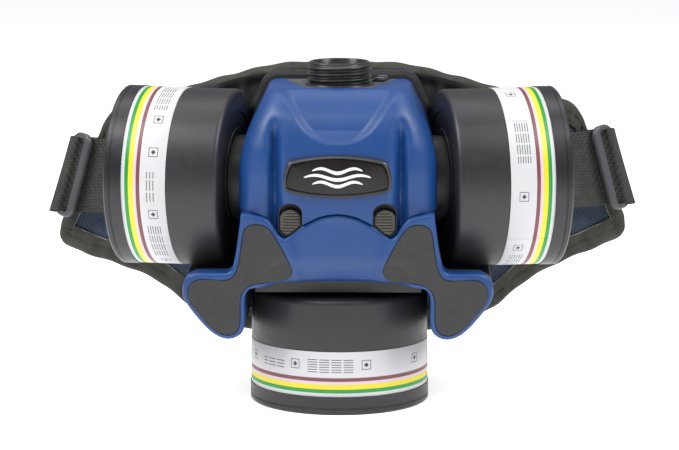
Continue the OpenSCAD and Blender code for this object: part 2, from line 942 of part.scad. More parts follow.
// A curved slab of the belt. Edges come from lookup tables, and its end runs
// from end_low at the bottom to end_top at the top.
module belt_slab(start, end_low, end_top, low, high, t0, t1, ns, nh) {
  function reach(v) = end_low + (end_top - end_low) * v;
  function grid(t) = [for (i = [0:ns]) for (j = [0:nh])
    let (v = j / nh, s = start + (reach(v) - start) * i / ns,
         z0 = axis_z + lookup(abs(s), low), z1 = axis_z + lookup(abs(s), high))
    on_belt(s, z0 + (z1 - z0) * v, t)];
  row = nh + 1;
  count = (ns + 1) * row;
  function cell(a, b, c, d) = [[a, b, c], [a, c, d]];
  front = [for (i = [0:ns - 1]) for (j = [0:nh - 1])
    let (a = i * row + j) each cell(a, a + row, a + row + 1, a + 1)];
  back = [for (f = front) [f[2] + count, f[1] + count, f[0] + count]];
  under = [for (i = [0:ns - 1])
    let (a = i * row, b = a + row) each cell(a, a + count, b + count, b)];
  over = [for (i = [0:ns - 1])
    let (a = i * row + nh, b = a + row) each cell(a, b, b + count, a + count)];
  near = [for (j = [0:nh - 1]) each cell(j, j + 1, j + 1 + count, j + count)];
  tip = [for (j = [0:nh - 1])
    let (a = ns * row + j) each cell(a, a + count, a + 1 + count, a + 1)];
  faces = concat(front, back, under, over, near, tip);
  polyhedron(
    concat(grid(t0), grid(t1)),
    end_low > start ? [for (f = faces) [f[2], f[1], f[0]]] : faces);
}

plate_front_t = plate_y - belt_y;
plate_back_t = plate_front_t + plate_t;
wing_gap = 0.35;

module back_plate() {
  color("#1c1d20")
    difference() {
      belt_slab(-wing_start + wing_gap, wing_start - wing_gap, wing_start - wing_gap,
                plate_low, plate_top, plate_front_t, plate_back_t, 24, 4);
      for (side = [-1, 1])
        for (z = plate_screws_z)
          translate([side * plate_screw_x, plate_y - 5, z])
            rotate([-90, 0, 0]) {
              cylinder(r = screw_r + 0.1, h = 20);
              translate([0, 0, 5 + plate_t - 1.9])
                cylinder(r = screw_head_r + 0.2, h = 10);
            }
    }
}

module pad_center() {
  color("#20262e")
    belt_slab(-wing_start + wing_gap, wing_start - wing_gap, wing_start - wing_gap,
              pad_low, pad_top, 0, pad_t, 24, 6);
}

module wing_plate(side) {
  color("#1c1d20")
    belt_slab(side * (wing_start + wing_gap), side * 150, side * 150,
              plate_low, plate_top, plate_front_t, plate_back_t, 8, 4);
}

module wing_pad(side) {
  color("#20262e")
    belt_slab(side * (wing_start + wing_gap), side * 200, side * 170,
              pad_low, pad_top, 0, pad_t, 12, 6);
}

module wing_plate_left() { wing_plate(-1); }
module wing_plate_right() { wing_plate(1); }
module wing_pad_left() { wing_pad(-1); }
module wing_pad_right() { wing_pad(1); }

// Loop buckle that stands in front of the wing, with its outer bar in the strap.
buckle_h = 55.5;
buckle_w = 18;
buckle_t = 3.5;
buckle_s = 175;
buckle_z = axis_z - 13;
buckle_depth = plate_front_t - webbing_t - 8.4;
inner_bar = 6;
outer_bar = 5;
outer_bar_x = (buckle_w - outer_bar) / 2;

module at_buckle(side) {
  spot = on_belt(side * buckle_s, buckle_z, buckle_depth);
  translate(spot)
    rotate([0, 0, side * bend(buckle_s)])
      rotate([-lean(buckle_s), 0, 0])
        rotate([0, -side * 7, 0])
          children();
}

module buckle(side) {
  slot = buckle_w - inner_bar - outer_bar;
  color("#5b6064")
    at_buckle(side)
      rotate([90, 0, 0])
        linear_extrude(buckle_t, center = true)
          difference() {
            offset(r = 6, $fn = 32)
              square([buckle_w - 12, buckle_h - 12], center = true);
            translate([side * (buckle_w / 2 - outer_bar - slot / 2), 0])
              square([slot, webbing_w + 1], center = true);
          }
}

// Strap laid over the wing's face, which then wraps the buckle's outer bar.
strap_mid = [[130, -8], [160, -12], [190, -15]];
strap_low = [for (p = strap_mid) [p[0], p[1] - webbing_w / 2]];
strap_top = [for (p = strap_mid) [p[0], p[1] + webbing_w / 2]];

module webbing(side) {
  t1 = plate_front_t - 0.4;
  bar = [outer_bar + 0.6, buckle_t + 0.7];
  back = bar[1] / 2 + webbing_t / 2;
  color("#101113") {
    belt_slab(side * 132, side * 167, side * 167, strap_low, strap_top,
              t1 - webbing_t, t1, 8, 2);
    at_buckle(side)
      linear_extrude(webbing_w, center = true) {
        translate([side * outer_bar_x, 0])
          difference() {
            offset(r = webbing_t, $fn = 24)
              square(bar, center = true);
            square(bar, center = true);
          }
        hull() {
          translate([side * (outer_bar_x - bar[0] / 2 - webbing_t / 2), back])
            square(webbing_t, center = true);
          translate([-side * 13, 9.3])
            square(webbing_t, center = true);
        }
      }
  }
}

module webbing_left() { webbing(-1); }
module webbing_right() { webbing(1); }

module buckle_left() { buckle(-1); }
module buckle_right() { buckle(1); }

// ---- one line for each piece --------------------------------------------
rear_housing();
front_cover();
top_panel();
hose_outlet();
outlet_gasket();
port_insert_left();
port_insert_right();
port_insert_bottom();
fan_scroll();
motor();
circuit_board();
buzzer();
battery_socket();
badge_frame();
badge_plate();
cover_screws();
plate_screws();
keypad_bezel();
indicator_lens();
impeller();
power_key();
flow_key();
latch_left();
latch_right();
battery_cover();
battery_case();
battery_cells();
battery_contacts();
grip_left();
grip_right();
left_seal();
left_shell();
left_cap();
left_label();
left_carbon();
left_pleats();
right_seal();
right_shell();
right_cap();
right_label();
right_carbon();
right_pleats();
bottom_seal();
bottom_shell();
bottom_cap();
bottom_label();
bottom_carbon();
bottom_pleats();
back_plate();
pad_center();
wing_plate_left();
wing_plate_right();
wing_pad_left();
wing_pad_right();
webbing_left();
webbing_right();
buckle_left();
buckle_right();
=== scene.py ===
"""Looks of a belt-worn powered air respirator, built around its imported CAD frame."""
import json
import math

import bmesh
import bpy
import numpy as np
from mathutils import Matrix, Vector
from mathutils.geometry import delaunay_2d_cdt


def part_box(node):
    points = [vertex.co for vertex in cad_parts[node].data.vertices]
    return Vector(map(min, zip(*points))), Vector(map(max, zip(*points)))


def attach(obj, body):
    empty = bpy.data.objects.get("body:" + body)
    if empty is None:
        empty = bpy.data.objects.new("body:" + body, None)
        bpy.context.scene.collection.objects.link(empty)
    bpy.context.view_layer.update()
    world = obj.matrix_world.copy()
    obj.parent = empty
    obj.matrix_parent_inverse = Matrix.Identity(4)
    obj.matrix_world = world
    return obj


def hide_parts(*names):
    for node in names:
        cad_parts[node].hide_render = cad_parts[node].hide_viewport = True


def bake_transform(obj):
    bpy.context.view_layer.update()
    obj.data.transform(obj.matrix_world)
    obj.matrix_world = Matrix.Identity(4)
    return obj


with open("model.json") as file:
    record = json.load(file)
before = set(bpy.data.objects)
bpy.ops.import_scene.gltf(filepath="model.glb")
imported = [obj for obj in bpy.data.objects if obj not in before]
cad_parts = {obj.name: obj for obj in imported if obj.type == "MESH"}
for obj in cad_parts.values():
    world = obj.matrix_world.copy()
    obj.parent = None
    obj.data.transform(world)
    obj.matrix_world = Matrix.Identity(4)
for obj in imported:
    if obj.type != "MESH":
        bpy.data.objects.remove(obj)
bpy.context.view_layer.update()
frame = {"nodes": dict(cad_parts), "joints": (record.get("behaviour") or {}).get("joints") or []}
# Shapes are worked out in millimetres and stored in metres.
MM = 0.001


# ---- Camera, daylight and table -------------------------------------------
# A long lens a little above the unit and a touch to its right, soft light
# from above and both sides, and a plain white table.
aim = Vector((0.0, 0.0, 107.0)) * MM
eye = Vector((37.2, -1776.0, 397.9)) * MM
camera = bpy.data.objects.new("camera", bpy.data.cameras.new("camera"))
camera.data.lens = 155.8
camera.data.sensor_width = 36.0
camera.location = eye
camera.rotation_euler = (aim - eye).to_track_quat("-Z", "Y").to_euler()
bpy.context.collection.objects.link(camera)
bpy.context.scene.camera = camera


def soft_box(name, place, size, watts):
    """An oblong area light that looks at the unit's middle."""
    lamp = bpy.data.lights.new(name, "AREA")
    lamp.shape = "RECTANGLE"
    lamp.size, lamp.size_y = size
    lamp.energy = watts
    box = bpy.data.objects.new(name, lamp)
    box.location = place
    box.rotation_euler = (aim - Vector(place)).to_track_quat("-Z", "Y").to_euler()
    bpy.context.collection.objects.link(box)


soft_box("key_light", (-0.3, -0.9, 1.9), (1.0, 0.6), 8)
soft_box("left_light", (-1.1, -0.35, 1.35), (0.7, 0.8), 22)
soft_box("right_light", (1.1, -0.35, 1.35), (0.7, 0.8), 20)
soft_box("top_light", (0.0, 0.5, 1.5), (1.6, 0.5), 7)

world = bpy.data.worlds.new("white_room")
world.use_nodes = True
sky = world.node_tree.nodes["Background"]
sky.inputs["Color"].default_value = (1, 1, 1, 1)
sky.inputs["Strength"].default_value = 0.27
bpy.context.scene.world = world
bpy.context.scene.view_settings.view_transform = "Standard"
bpy.context.scene.view_settings.exposure = 0.0

floor_mesh = bpy.data.meshes.new("table")
floor_mesh.from_pydata([(-4, -4, 0), (4, -4, 0), (4, 4, 0), (-4, 4, 0)], [], [(0, 1, 2, 3)])
floor = bpy.data.objects.new("table", floor_mesh)
bpy.context.collection.objects.link(floor)
floor_paint = bpy.data.materials.new("table_white")
floor_paint.use_nodes = True
floor_shader = floor_paint.node_tree.nodes["Principled BSDF"]
floor_shader.inputs["Base Color"].default_value = (0.93, 0.93, 0.93, 1)
floor_shader.inputs["Roughness"].default_value = 0.6
floor_shader.inputs["Emission Color"].default_value = (1, 1, 1, 1)
floor_shader.inputs["Emission Strength"].default_value = 0.62
floor_mesh.materials.append(floor_paint)


# ---- Filter canisters -----------------------------------------------------
# Three pressed and moulded black canisters, 108 mm across, with a rounded
# shoulder and a screw neck. Each is turned as one profile on its own axis.
def finish_mesh(name, points, faces, sharp=38.0, uv=None):
    """Makes a piece from points in millimetres; faces are turned outwards by signed volume."""
    mesh = bpy.data.meshes.new(name)
    mesh.from_pydata((np.asarray(points, float) * MM).tolist(), [], faces)
    mesh.validate()
    if uv is not None:
        layer = mesh.uv_layers.new(name="UVMap")
        loops = np.zeros(len(mesh.loops), np.int32)
        mesh.loops.foreach_get("vertex_index", loops)
        layer.data.foreach_set("uv", np.asarray(uv, np.float32)[loops].ravel())
    piece = bpy.data.objects.new(name, mesh)
    bpy.context.collection.objects.link(piece)
    if signed_volume(mesh) < 0:
        mesh.flip_normals()
    mesh.polygons.foreach_set("use_smooth", np.ones(len(mesh.polygons), bool))
    mesh.set_sharp_from_angle(angle=math.radians(sharp))
    mesh.update()
    return piece


def signed_volume(mesh):
    """Sum over triangles of a . (b x c) / 6, which is positive when faces point outwards."""
    mesh.calc_loop_triangles()
    co = np.zeros(len(mesh.vertices) * 3, np.float32)
    mesh.vertices.foreach_get("co", co)
    tri = np.zeros(len(mesh.loop_triangles) * 3, np.int32)
    mesh.loop_triangles.foreach_get("vertices", tri)
    a, b, c = np.moveaxis(co.reshape(-1, 3)[tri.reshape(-1, 3)].astype(float), 1, 0)
    return float(np.einsum("ij,ij->i", a, np.cross(b, c)).sum() / 6)


def grid_faces(rows, columns, close_rows=False, close_columns=False):
    """Quads of a rows x columns grid of points, closed on itself either way if asked."""
    i = np.arange(rows if close_rows else rows - 1)[:, None]
    j = np.arange(columns if close_columns else columns - 1)[None, :]
    a = i * columns + j
    b = i * columns + (j + 1) % columns
    c = ((i + 1) % rows) * columns + (j + 1) % columns
    d = ((i + 1) % rows) * columns + j
    return np.stack([a, b, c, d], -1).reshape(-1, 4).tolist()


def joint_place(joint_name):
    """The matrix, in millimetres, that puts local +Z on a joint's axis and the origin on its point."""
    joint = next(j for j in frame["joints"] if j["name"] == joint_name)
    axis = Vector(joint["axis"]).normalized()
    first = axis.cross(Vector((0, 1, 0))).normalized()
    second = axis.cross(first)
    place = Matrix((first, second, axis)).transposed().to_4x4()
    place.translation = Vector(joint["pos_m"]) / MM
    return np.array(place)


def turned(turn, radius, height, place):
    """Points turned about local +Z, x = r cos a, y = r sin a, z = h, and then put in place."""
    turn = turn[:, None]
    local = np.stack([np.cos(turn) * radius, np.sin(turn) * radius,
                      np.broadcast_to(height, radius.shape), np.ones(radius.shape)], -1)
    return (local.reshape(-1, 4) @ place.T)[:, :3]


def revolve(name, profile, place, segments=144, sharp=38.0):
    """Turns a closed (radius, height) profile once round a joint's axis."""
    profile = np.asarray(profile, float)
    turn = np.linspace(0, 2 * np.pi, segments, endpoint=False)
    radius = np.broadcast_to(profile[:, 0], (segments, len(profile)))
    points = turned(turn, radius, profile[:, 1], place)
    return finish_mesh(name, points, grid_faces(segments, len(profile), True, True), sharp)


def arc(centre, radius, start, end, steps):
    """Points of a circular arc in a profile, from one angle to the other in degrees."""
    a = np.radians(np.linspace(start, end, steps + 1))
    return np.stack([centre[0] + radius * np.cos(a), centre[1] + radius * np.sin(a)], -1).tolist()


def plug(paint, socket, value):
    """Links another node's output into a socket, or gives the socket a plain value."""
    if isinstance(value, bpy.types.NodeSocket):
        paint.node_tree.links.new(value, socket)
    else:
        socket.default_value = value


def add_node(paint, kind, inputs, output, **settings):
    """Adds a node to a finish, plugs in its inputs and returns one of its outputs."""
    node = paint.node_tree.nodes.new("ShaderNode" + kind)
    for key, value in settings.items():
        setattr(node, key, value)
    for key, value in inputs.items():
        plug(paint, node.inputs[key], value)
    return node.outputs[output]


def set_shader(paint, **inputs):
    """Plugs in the inputs of the finish's own shader, whose names are given with _ for a space."""
    shader = paint.node_tree.nodes["Principled BSDF"]
    for key, value in inputs.items():
        plug(paint, shader.inputs[key.replace("_", " ")], value)


def mix_colours(paint, share, first, second):
    """A colour that runs from the first to the second as share goes from 0 to 1."""
    return add_node(paint, "Mix", {"A": first, "B": second, "Factor": share}, "Result", data_type="RGBA")


def set_bump(paint, height, strength, distance, invert=False):
    """Lets a height pattern tilt the finish's normals; distance is in metres."""
    sizes = {"Strength": strength, "Distance": distance, "Height": height}
    set_shader(paint, Normal=add_node(paint, "Bump", sizes, "Normal", invert=invert))


def moulded(name, colour, rough, grain=1600.0, bump=0.08, mottle=0.10, metallic=0.0,
            coat=0.0, specular=0.5, streak=(1.0, 1.0, 1.0)):
    """A procedural finish: cloudy colour, uneven roughness, handling marks and a fine surface grain."""
    paint = bpy.data.materials.new(name)
    paint.use_nodes = True
    spot = add_node(paint, "TexCoord", {}, "Object")
    spot = add_node(paint, "Mapping", {"Scale": streak, "Vector": spot}, "Vector")

    def noise(scale, detail=3.0):
        return add_node(paint, "TexNoise", {"Scale": scale, "Detail": detail, "Vector": spot}, "Fac")

    def spread(value, low, high):
        limits = {"From Min": 0.3, "From Max": 0.7, "To Min": low, "To Max": high}
        return add_node(paint, "MapRange", {**limits, "Value": value}, "Result")

    dark = (*[c * (1 - mottle) for c in colour], 1)
    light = (*[min(c * (1 + mottle), 1) for c in colour], 1)
    scuffs = spread(noise(210.0, 6.0), rough * 0.88, min(rough * 1.14, 1.0))
    set_shader(paint, Metallic=metallic, Coat_Weight=coat, Coat_Roughness=0.12, Specular_IOR_Level=specular,
               Base_Color=mix_colours(paint, spread(noise(38.0), 0.0, 1.0), dark, light), Roughness=scuffs)
    set_bump(paint, noise(grain, 2.0), bump, 0.0004)
    return paint


def dress(piece, paint, body=None, replaces=()):
    """Gives a piece its finish, its body and the CAD nodes that it stands for."""
    piece.data.materials.clear()
    piece.data.materials.append(paint)
    if body:
        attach(piece, body)
    if replaces:
        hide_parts(*replaces)
    return piece


canister_black = moulded("canister_black", (0.018, 0.018, 0.022), 0.42, grain=2600, bump=0.10)
ports = {side: joint_place(f"{side}_filter_turn") for side in ("left", "right", "bottom")}
base = np.array(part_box("bottom_shell")) / MM
canister_r = (base[1][0] - base[0][0]) / 2
canister_len = ports["bottom"][2, 3]
neck_len = base[1][2] - canister_len
cap_len = 11.0
shoulder_r = 3.4
neck_r, bore_r = 20.0, 17.0
wall, floor_t, step_in = 1.6, 3.0, 0.35
shell_end = canister_len - cap_len - 0.05

shell_profile = (
    [[bore_r, -neck_len], [neck_r - 0.6, -neck_len], [neck_r, -neck_len + 0.6], [neck_r, 0.0]]
    + [[30.0, 0.0], [30.4, 0.5], [40.0, 0.5], [40.4, 0.0]]
    + arc((canister_r - shoulder_r, shoulder_r), shoulder_r, -90, 0, 8)
    + [[canister_r, 31.0], [canister_r - step_in, 31.3], [canister_r - step_in, shell_end],
       [canister_r - wall, shell_end], [canister_r - wall, floor_t], [bore_r, floor_t]])
for side, place in ports.items():
    shell = revolve(f"{side}_canister", shell_profile, place, 160)
    dress(shell, canister_black, f"{side}_filter", [f"{side}_shell"])


# ---- Canister end caps ----------------------------------------------------
# Each canister's outer end is a pressed cap with a standing rim, a shallow
# bead round its side and a field of inlet holes. The holes are the CAD cap's.
cap_black = moulded("cap_black", (0.012, 0.012, 0.015), 0.36, grain=2400, bump=0.08)
for side in ports:
    dress(frame["nodes"][f"{side}_cap"], cap_black)


# ---- Canister sleeves -----------------------------------------------------
# A printed film sleeve round each canister: coloured type bands next to the
# cap, then a white field with ruled grey lines and plain marks.
def sleeve_film():
    """White film whose marks follow the sleeve's own UV map: u is round it and v along it, both in mm."""
    film = moulded("sleeve_film", (0.58, 0.58, 0.60), 0.42, grain=900, bump=0.03, mottle=0.015)
    colour = film.node_tree.nodes["Principled BSDF"].inputs["Base Color"].links[0].from_socket
    uv = add_node(film, "UVMap", {}, "UV", uv_map="UVMap")
    across = add_node(film, "SeparateXYZ", {"Vector": uv}, "X")
    along = across.node.outputs["Y"]

    def calc(kind, a, b=0.0):
        return add_node(film, "Math", {0: a, 1: b}, 0, operation=kind)

    def within(value, low, high):
        return calc("MULTIPLY", calc("GREATER_THAN", value, low), calc("LESS_THAN", value, high))

    def repeat(value, pitch):
        return calc("FRACT", calc("DIVIDE", value, pitch))

    bands = [((0.0, 0.27, 0.040), 2.4, 4.7), ((0.72, 0.60, 0.016), 4.7, 7.7),
             ((0.62, 0.50, 0.58), 7.7, 9.5), ((0.17, 0.050, 0.058), 9.5, 11.8)]
    for tint, low, high in bands:
        colour = mix_colours(film, within(along, low, high), colour, (*tint, 1))
    grey, middle = (0.045, 0.045, 0.05, 1), 19.5
    ruled = [(16, 44, 14.6, 23.6, 1.5, 0.62), (60, 78, 15.5, 21.5, 2.0, 0.5),
             (120, 150, 14.6, 23.6, 1.5, 0.62), (178, 214, 14.6, 23.6, 1.5, 0.62),
             (262, 290, 14.6, 23.6, 1.5, 0.62)]
    for start, end, low, high, pitch, part in ruled:
        field = calc("MULTIPLY", within(across, start, end), within(along, low, high))
        line = calc("LESS_THAN", repeat(along, pitch), part * 0.5)
        gap = calc("GREATER_THAN", repeat(across, 7.3), 0.16)
        colour = mix_colours(film, calc("MULTIPLY", field, calc("MULTIPLY", line, gap)), colour, grey)
    for centre in (8.0, 52.0, 90.0, 112.0, 168.0, 236.0, 310.0):
        du = calc("ABSOLUTE", calc("SUBTRACT", across, centre))
        dv = calc("ABSOLUTE", calc("SUBTRACT", along, middle))
        square = within(calc("MAXIMUM", du, dv), 2.5, 2.9)
        dot = calc("LESS_THAN", calc("ADD", du, dv), 1.5)
        colour = mix_colours(film, calc("MAXIMUM", square, dot), colour, grey)
    set_shader(film, Base_Color=colour)
    return film


def sleeve(name, place, low, high, phase):
    """A thin tube round local +Z with softly rounded edges and one lapped seam."""
    inner, outer, edge = canister_r - 0.3, canister_r + 0.28, 0.18
    profile = np.array([[inner, low], [outer - edge, low], [outer, low + edge], [outer, high - edge],
                        [outer - edge, high], [inner, high]])
    columns, n = 181, len(profile)
    round_share = np.linspace(0, 1, columns)
    lap = 0.12 * np.clip(1 - np.abs(round_share) * 90, 0, 1)
    radius = profile[None, :, 0] + lap[:, None] * (profile[None, :, 0] > canister_r)
    points = turned(np.linspace(0, 2 * np.pi, columns) + phase, radius, profile[:, 1], place)
    round_mm = np.linspace(0, 2 * np.pi * canister_r, columns)
    uv = np.stack([np.broadcast_to(round_mm[:, None], radius.shape),
                   np.broadcast_to(high - profile[:, 1], radius.shape)], -1).reshape(-1, 2)
    faces = grid_faces(columns, n, False, True)
    faces += [list(range(n))[::-1], [(columns - 1) * n + i for i in range(n)]]
    return finish_mesh(name, points, faces, 50, uv)


film = sleeve_film()
for side, phase in (("left", 0.3), ("right", 2.2), ("bottom", 1.1)):
    strip = sleeve(f"{side}_sleeve", ports[side], 31.4, shell_end, phase)
    dress(strip, film, f"{side}_filter", [f"{side}_label"])


# ---- Blue blower cover ----------------------------------------------------
# The injection-moulded front shell: a bowed face with two upright flutes, a
# scoop below the hose outlet, rounded shoulders and a flat top edge.
axis_z = ports["left"][2, 3]
port_x = ports["right"][0, 3]
cover_low, cover_high = np.array(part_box("front_cover")) / MM
half_w, front_y, split_y, crown_z = cover_high[0], cover_low[1], cover_high[1], cover_high[2]
lean = math.atan2(ports["right"][1, 2], ports["right"][0, 2])
parting = np.array([[0, -13.6], [5.8, -14.2], [11.3, -15.6], [16.3, -18.0], [21.3, -20.7], [26.6, -24.7],
                    [29.2, -26.9], [31.3, -27.9], [33.2, -27.4], [34.8, -26.0], [36.2, -24.0], [39.2, -19.2],
                    [42, -16.2], [45, -15.0], [48.5, -14.3], [58.5, -13.1]])


def ease(u):
    """A smooth step from 0 to 1: 3u^2 - 2u^3 with u held between 0 and 1."""
    u = np.clip(u, 0, 1)
    return u * u * (3 - 2 * u)


def smooth_interp(x, knots, values):
    """Cubic interpolation that never overshoots. A knot's slope is the harmonic mean of the slopes on
    its two sides, or 0 where they have opposite signs."""
    knots, values = np.asarray(knots, float), np.asarray(values, float)
    step = np.diff(values) / np.diff(knots)
    before, after = step[:-1], step[1:]
    inner = np.where(before * after > 0, 2 * before * after / (before + after + 1e-12), 0)
    slope = np.concatenate([[step[0]], inner, [step[-1]]])
    x = np.clip(x, knots[0], knots[-1])
    k = np.clip(np.searchsorted(knots, x, side="right") - 1, 0, len(knots) - 2)
    h = knots[k + 1] - knots[k]
    t = (x - knots[k]) / h
    return ((2 * t**3 - 3 * t**2 + 1) * values[k] + (t**3 - 2 * t**2 + t) * h * slope[k]
            + (3 * t**2 - 2 * t**3) * values[k + 1] + (t**3 - t**2) * h * slope[k + 1])


def cover_half_width(z):
    """The cover's half width at height z, eased between heights above the side canisters' axis."""
    return smooth_interp(z - axis_z, [-30, 6, 14.6, 22.7, 30, 37.2, 45.2, 50, 53.5, 55.7, 57, 57.5],
                         [half_w, half_w, 58.9, 57.4, 55.4, 52.6, 48.4, 46.1, 44.6, 43.2, 41.2, 39.2])


def cover_front(z):
    """The depth of the cover's face at height z, eased in the same way."""
    return smooth_interp(z - axis_z, [-30, 8, 22, 32, 41, 48, 53, 56, 57.1, 57.5],
                         [front_y, front_y, -56.0, -53.6, -49.4, -43.6, -37.4, -32.2, -29.6, -27.8])


def port_plane(y):
    """How far out the shell may reach at depth y before it meets a side canister's face."""
    return port_x - 2.5 / math.cos(lean) - math.tan(lean) * y


def cover_point(a, z):
    """Plan section of the cover at height z, for a from 0 at the middle of the face to 1 at the back
    edge: a flat to a = 0.5, a round corner to 0.8, then straight back. The face is bowed, has an upright
    flute, and dips inside the scoop's rim."""
    hw, fy = cover_half_width(z), cover_front(z)
    corner = np.minimum(smooth_interp(z - axis_z, [-30, 30, 57.5], [17.0, 19.0, 13.0]), split_y - fy - 4)
    flat = hw - corner
    turn = np.clip((a - 0.5) / 0.3, 0, 1) * np.pi / 2
    x = np.where(a < 0.5, a / 0.5 * flat, flat + corner * np.sin(turn))
    y = fy + corner * (1 - np.cos(turn))
    back = np.clip((a - 0.8) / 0.2, 0, 1)
    y = y + back * (split_y - (fy + corner))
    y = y + 2.6 * (np.minimum(x, 45) / 45) ** 2 * ease((crown_z - z) / 30)
    x = np.where(a > 0.8, np.minimum(x, port_plane(y)), x)
    flute_x, flute_deep = 37.4, 7.0
    flute = ease((axis_z + 46 - z) / 18)
    reach = 3.4 + 1.0 * ease((axis_z + 10 - z) / 20)
    y = y + flute_deep * flute * np.exp(-np.abs((x - flute_x) / reach) ** 1.7)
    scoop_low, scoop_deep = 26.5, 4.6
    rim = smooth_interp(z - axis_z, [scoop_low, 28.0, 30.5, 34, 39, 44, 49, 53.5, 57.5],
                        [0, 8.5, 13.5, 18.5, 23, 26.5, 29.8, 33.2, 36.5])
    inside = np.where(z > axis_z + scoop_low, rim - x, -1)
    y = y + scoop_deep * ease((inside + 1.5) / 7.5) * ease((z - axis_z - scoop_low) / 9)
    return x, y


def blue_cover():
    """Sections run from one back edge to the other and climb from the parting line to the crown, then
    the flat top runs in to the panel's outline."""
    across, up, inward = 141, 150, 10
    panel_w, panel_corner = 19.2, 33.8
    panel_front, panel_back = -22.2, 24
    run = np.linspace(-1, 1, 2 * across - 1)[None, :]
    a, sign = np.abs(run), np.sign(run)
    low_x, _ = cover_point(a, np.full_like(a, axis_z - 13))
    foot = np.interp(low_x, parting[:, 0], parting[:, 1]) + axis_z
    foot = np.where(a > 0.8, foot - 3.5 * ease((a - 0.8) / 0.1), foot)
    climb = np.linspace(0, 1, up)[:, None]
    z = foot + (crown_z - foot) * (1 - (1 - climb) ** 1.25)
    x, y = cover_point(np.broadcast_to(a, z.shape), z)
    corner = np.clip((a - 0.5) / 0.46, 0, 1)
    edge_x = np.where(a < 0.5, a / 0.5 * panel_w, panel_w + (panel_corner - panel_w) * corner)
    edge_y = np.where(a < 0.5, panel_front, panel_front + (panel_back - panel_front) * corner)
    edge_y = np.where(a > 0.96, panel_back + (split_y - panel_back) * (a - 0.96) / 0.04, edge_y)
    share = np.linspace(0, 1, inward + 1)[1:, None]
    x = np.vstack([x, x[-1] + (edge_x - x[-1]) * share])
    y = np.vstack([y, y[-1] + (edge_y - y[-1]) * share])
    z = np.vstack([z, np.full((inward, z.shape[1]), crown_z)])
    points = np.stack([x * sign, y, z], -1)
    rows, columns = x.shape
    piece = finish_mesh("blue_cover", points.reshape(-1, 3), grid_faces(rows, columns), 30)
    middle = piece.data.polygons[(rows // 2) * (columns - 1) + columns // 2]
    if middle.normal.y > 0:
        piece.data.flip_normals()
    return piece


def settle(piece, *modifiers):
    """Adds modifiers given as (kind, settings), applies them all and keeps the result as the mesh."""
    for kind, settings in modifiers:
        step = piece.modifiers.new(kind.lower(), kind)
        for key, value in settings.items():
            setattr(step, key, value)
    ready = piece.evaluated_get(bpy.context.evaluated_depsgraph_get())
    mesh = bpy.data.meshes.new_from_object(ready)
    piece.modifiers.clear()
    piece.data = mesh
    mesh.polygons.foreach_set("use_smooth", np.ones(len(mesh.polygons), bool))
    mesh.set_sharp_from_angle(angle=math.radians(34))
    return piece


def prism(name, outline, y0, y1):
    """An (x, z) outline pushed from y0 to y1, used as a cutter."""
    outline = np.asarray(outline, float)
    n = len(outline)
    points = np.vstack([np.insert(outline, 1, y0, axis=1), np.insert(outline, 1, y1, axis=1)])
    faces = [list(range(n))[::-1], [n + i for i in range(n)]]
    faces += [[i, (i + 1) % n, n + (i + 1) % n, n + i] for i in range(n)]
    return finish_mesh(name, points, faces)


def cut_away(piece, cutters):
    """Subtracts each cutter from the piece, then removes the cutters."""
    for cutter in cutters:
        settle(piece, ("BOOLEAN", {"operation": "DIFFERENCE", "solver": "EXACT", "object": cutter}))
        bpy.data.objects.remove(cutter)
    return piece


latch_x, latch_z = 28.0, axis_z - 28


def latch_outline(side, grow, lift=0.0):
    """A latch button's outline, moved out by `grow`: a flattened round head, raised by `lift`, over a
    foot that follows the parting line."""
    w = 6.55 + grow
    head_z, flatten = 10.9, 0.86
    head = [[x, head_z + (z - head_z) * flatten + lift] for x, z in arc((0, head_z), w, 0, 180, 16)]
    foot = [[-w, 7.6 - grow], [-3.0, 4.2 - grow], [0.6, 1.6 - grow], [3.0, 1.0 - grow], [4.6, 2.0 - grow],
            [w, 4.4 - grow]]
    return np.array([[side * (latch_x + x), latch_z + z] for x, z in head + foot])


cover_wall, port_cut_r = 2.2, 26.4
cover = blue_cover()
settle(cover, ("SOLIDIFY", {"thickness": cover_wall * MM, "offset": -1.0, "use_even_offset": False}))
cutters = [prism("pocket", latch_outline(s, 0.55, 3.6), -75, -40) for s in (-1, 1)]
port_cut = [[0.01, -30], [port_cut_r, -30], [port_cut_r, 6], [0.01, 6]]
for side in ("left", "right"):
    cutters.append(revolve("port_cut", port_cut, ports[side], 96))
cut_away(cover, cutters)
cover_blue = moulded("cover_blue", (0.005, 0.047, 0.19), 0.42, grain=2200, bump=0.07, mottle=0.05)
dress(cover, cover_blue, "unit", ["front_cover"])


# ---- Latch pockets --------------------------------------------------------
# A black moulded cup behind each latch opening. It closes the cover's wall
# round the button and leaves the dark gap above it.
def turned_inwards(outline):
    """A closed (x, z) outline run anticlockwise, with the unit normal at each point that looks inwards."""
    outline = np.asarray(outline, float)
    ahead, behind = np.roll(outline, -1, 0), np.roll(outline, 1, 0)
    if np.sum(outline[:, 0] * ahead[:, 1] - ahead[:, 0] * outline[:, 1]) < 0:
        outline, ahead, behind = outline[::-1], behind[::-1], ahead[::-1]
    tangent = ahead - behind
    tangent /= np.linalg.norm(tangent, axis=1, keepdims=True)
    return outline, np.stack([-tangent[:, 1], tangent[:, 0]], -1)


def ring_loft(name, outline, steps, sharp=34.0):
    """Stacks copies of an (x, z) outline, each drawn in by an inset and set at a depth y, and caps both
    ends."""
    outline, inward = turned_inwards(outline)
    loops = [np.insert(outline + inward * inset, 1, y, axis=1) for inset, y in steps]
    n = len(outline)
    faces = grid_faces(len(steps), n, False, True)
    faces += [list(range(n)), [(len(steps) - 1) * n + i for i in range(n)]]
    return finish_mesh(name, np.vstack(loops), faces, sharp)


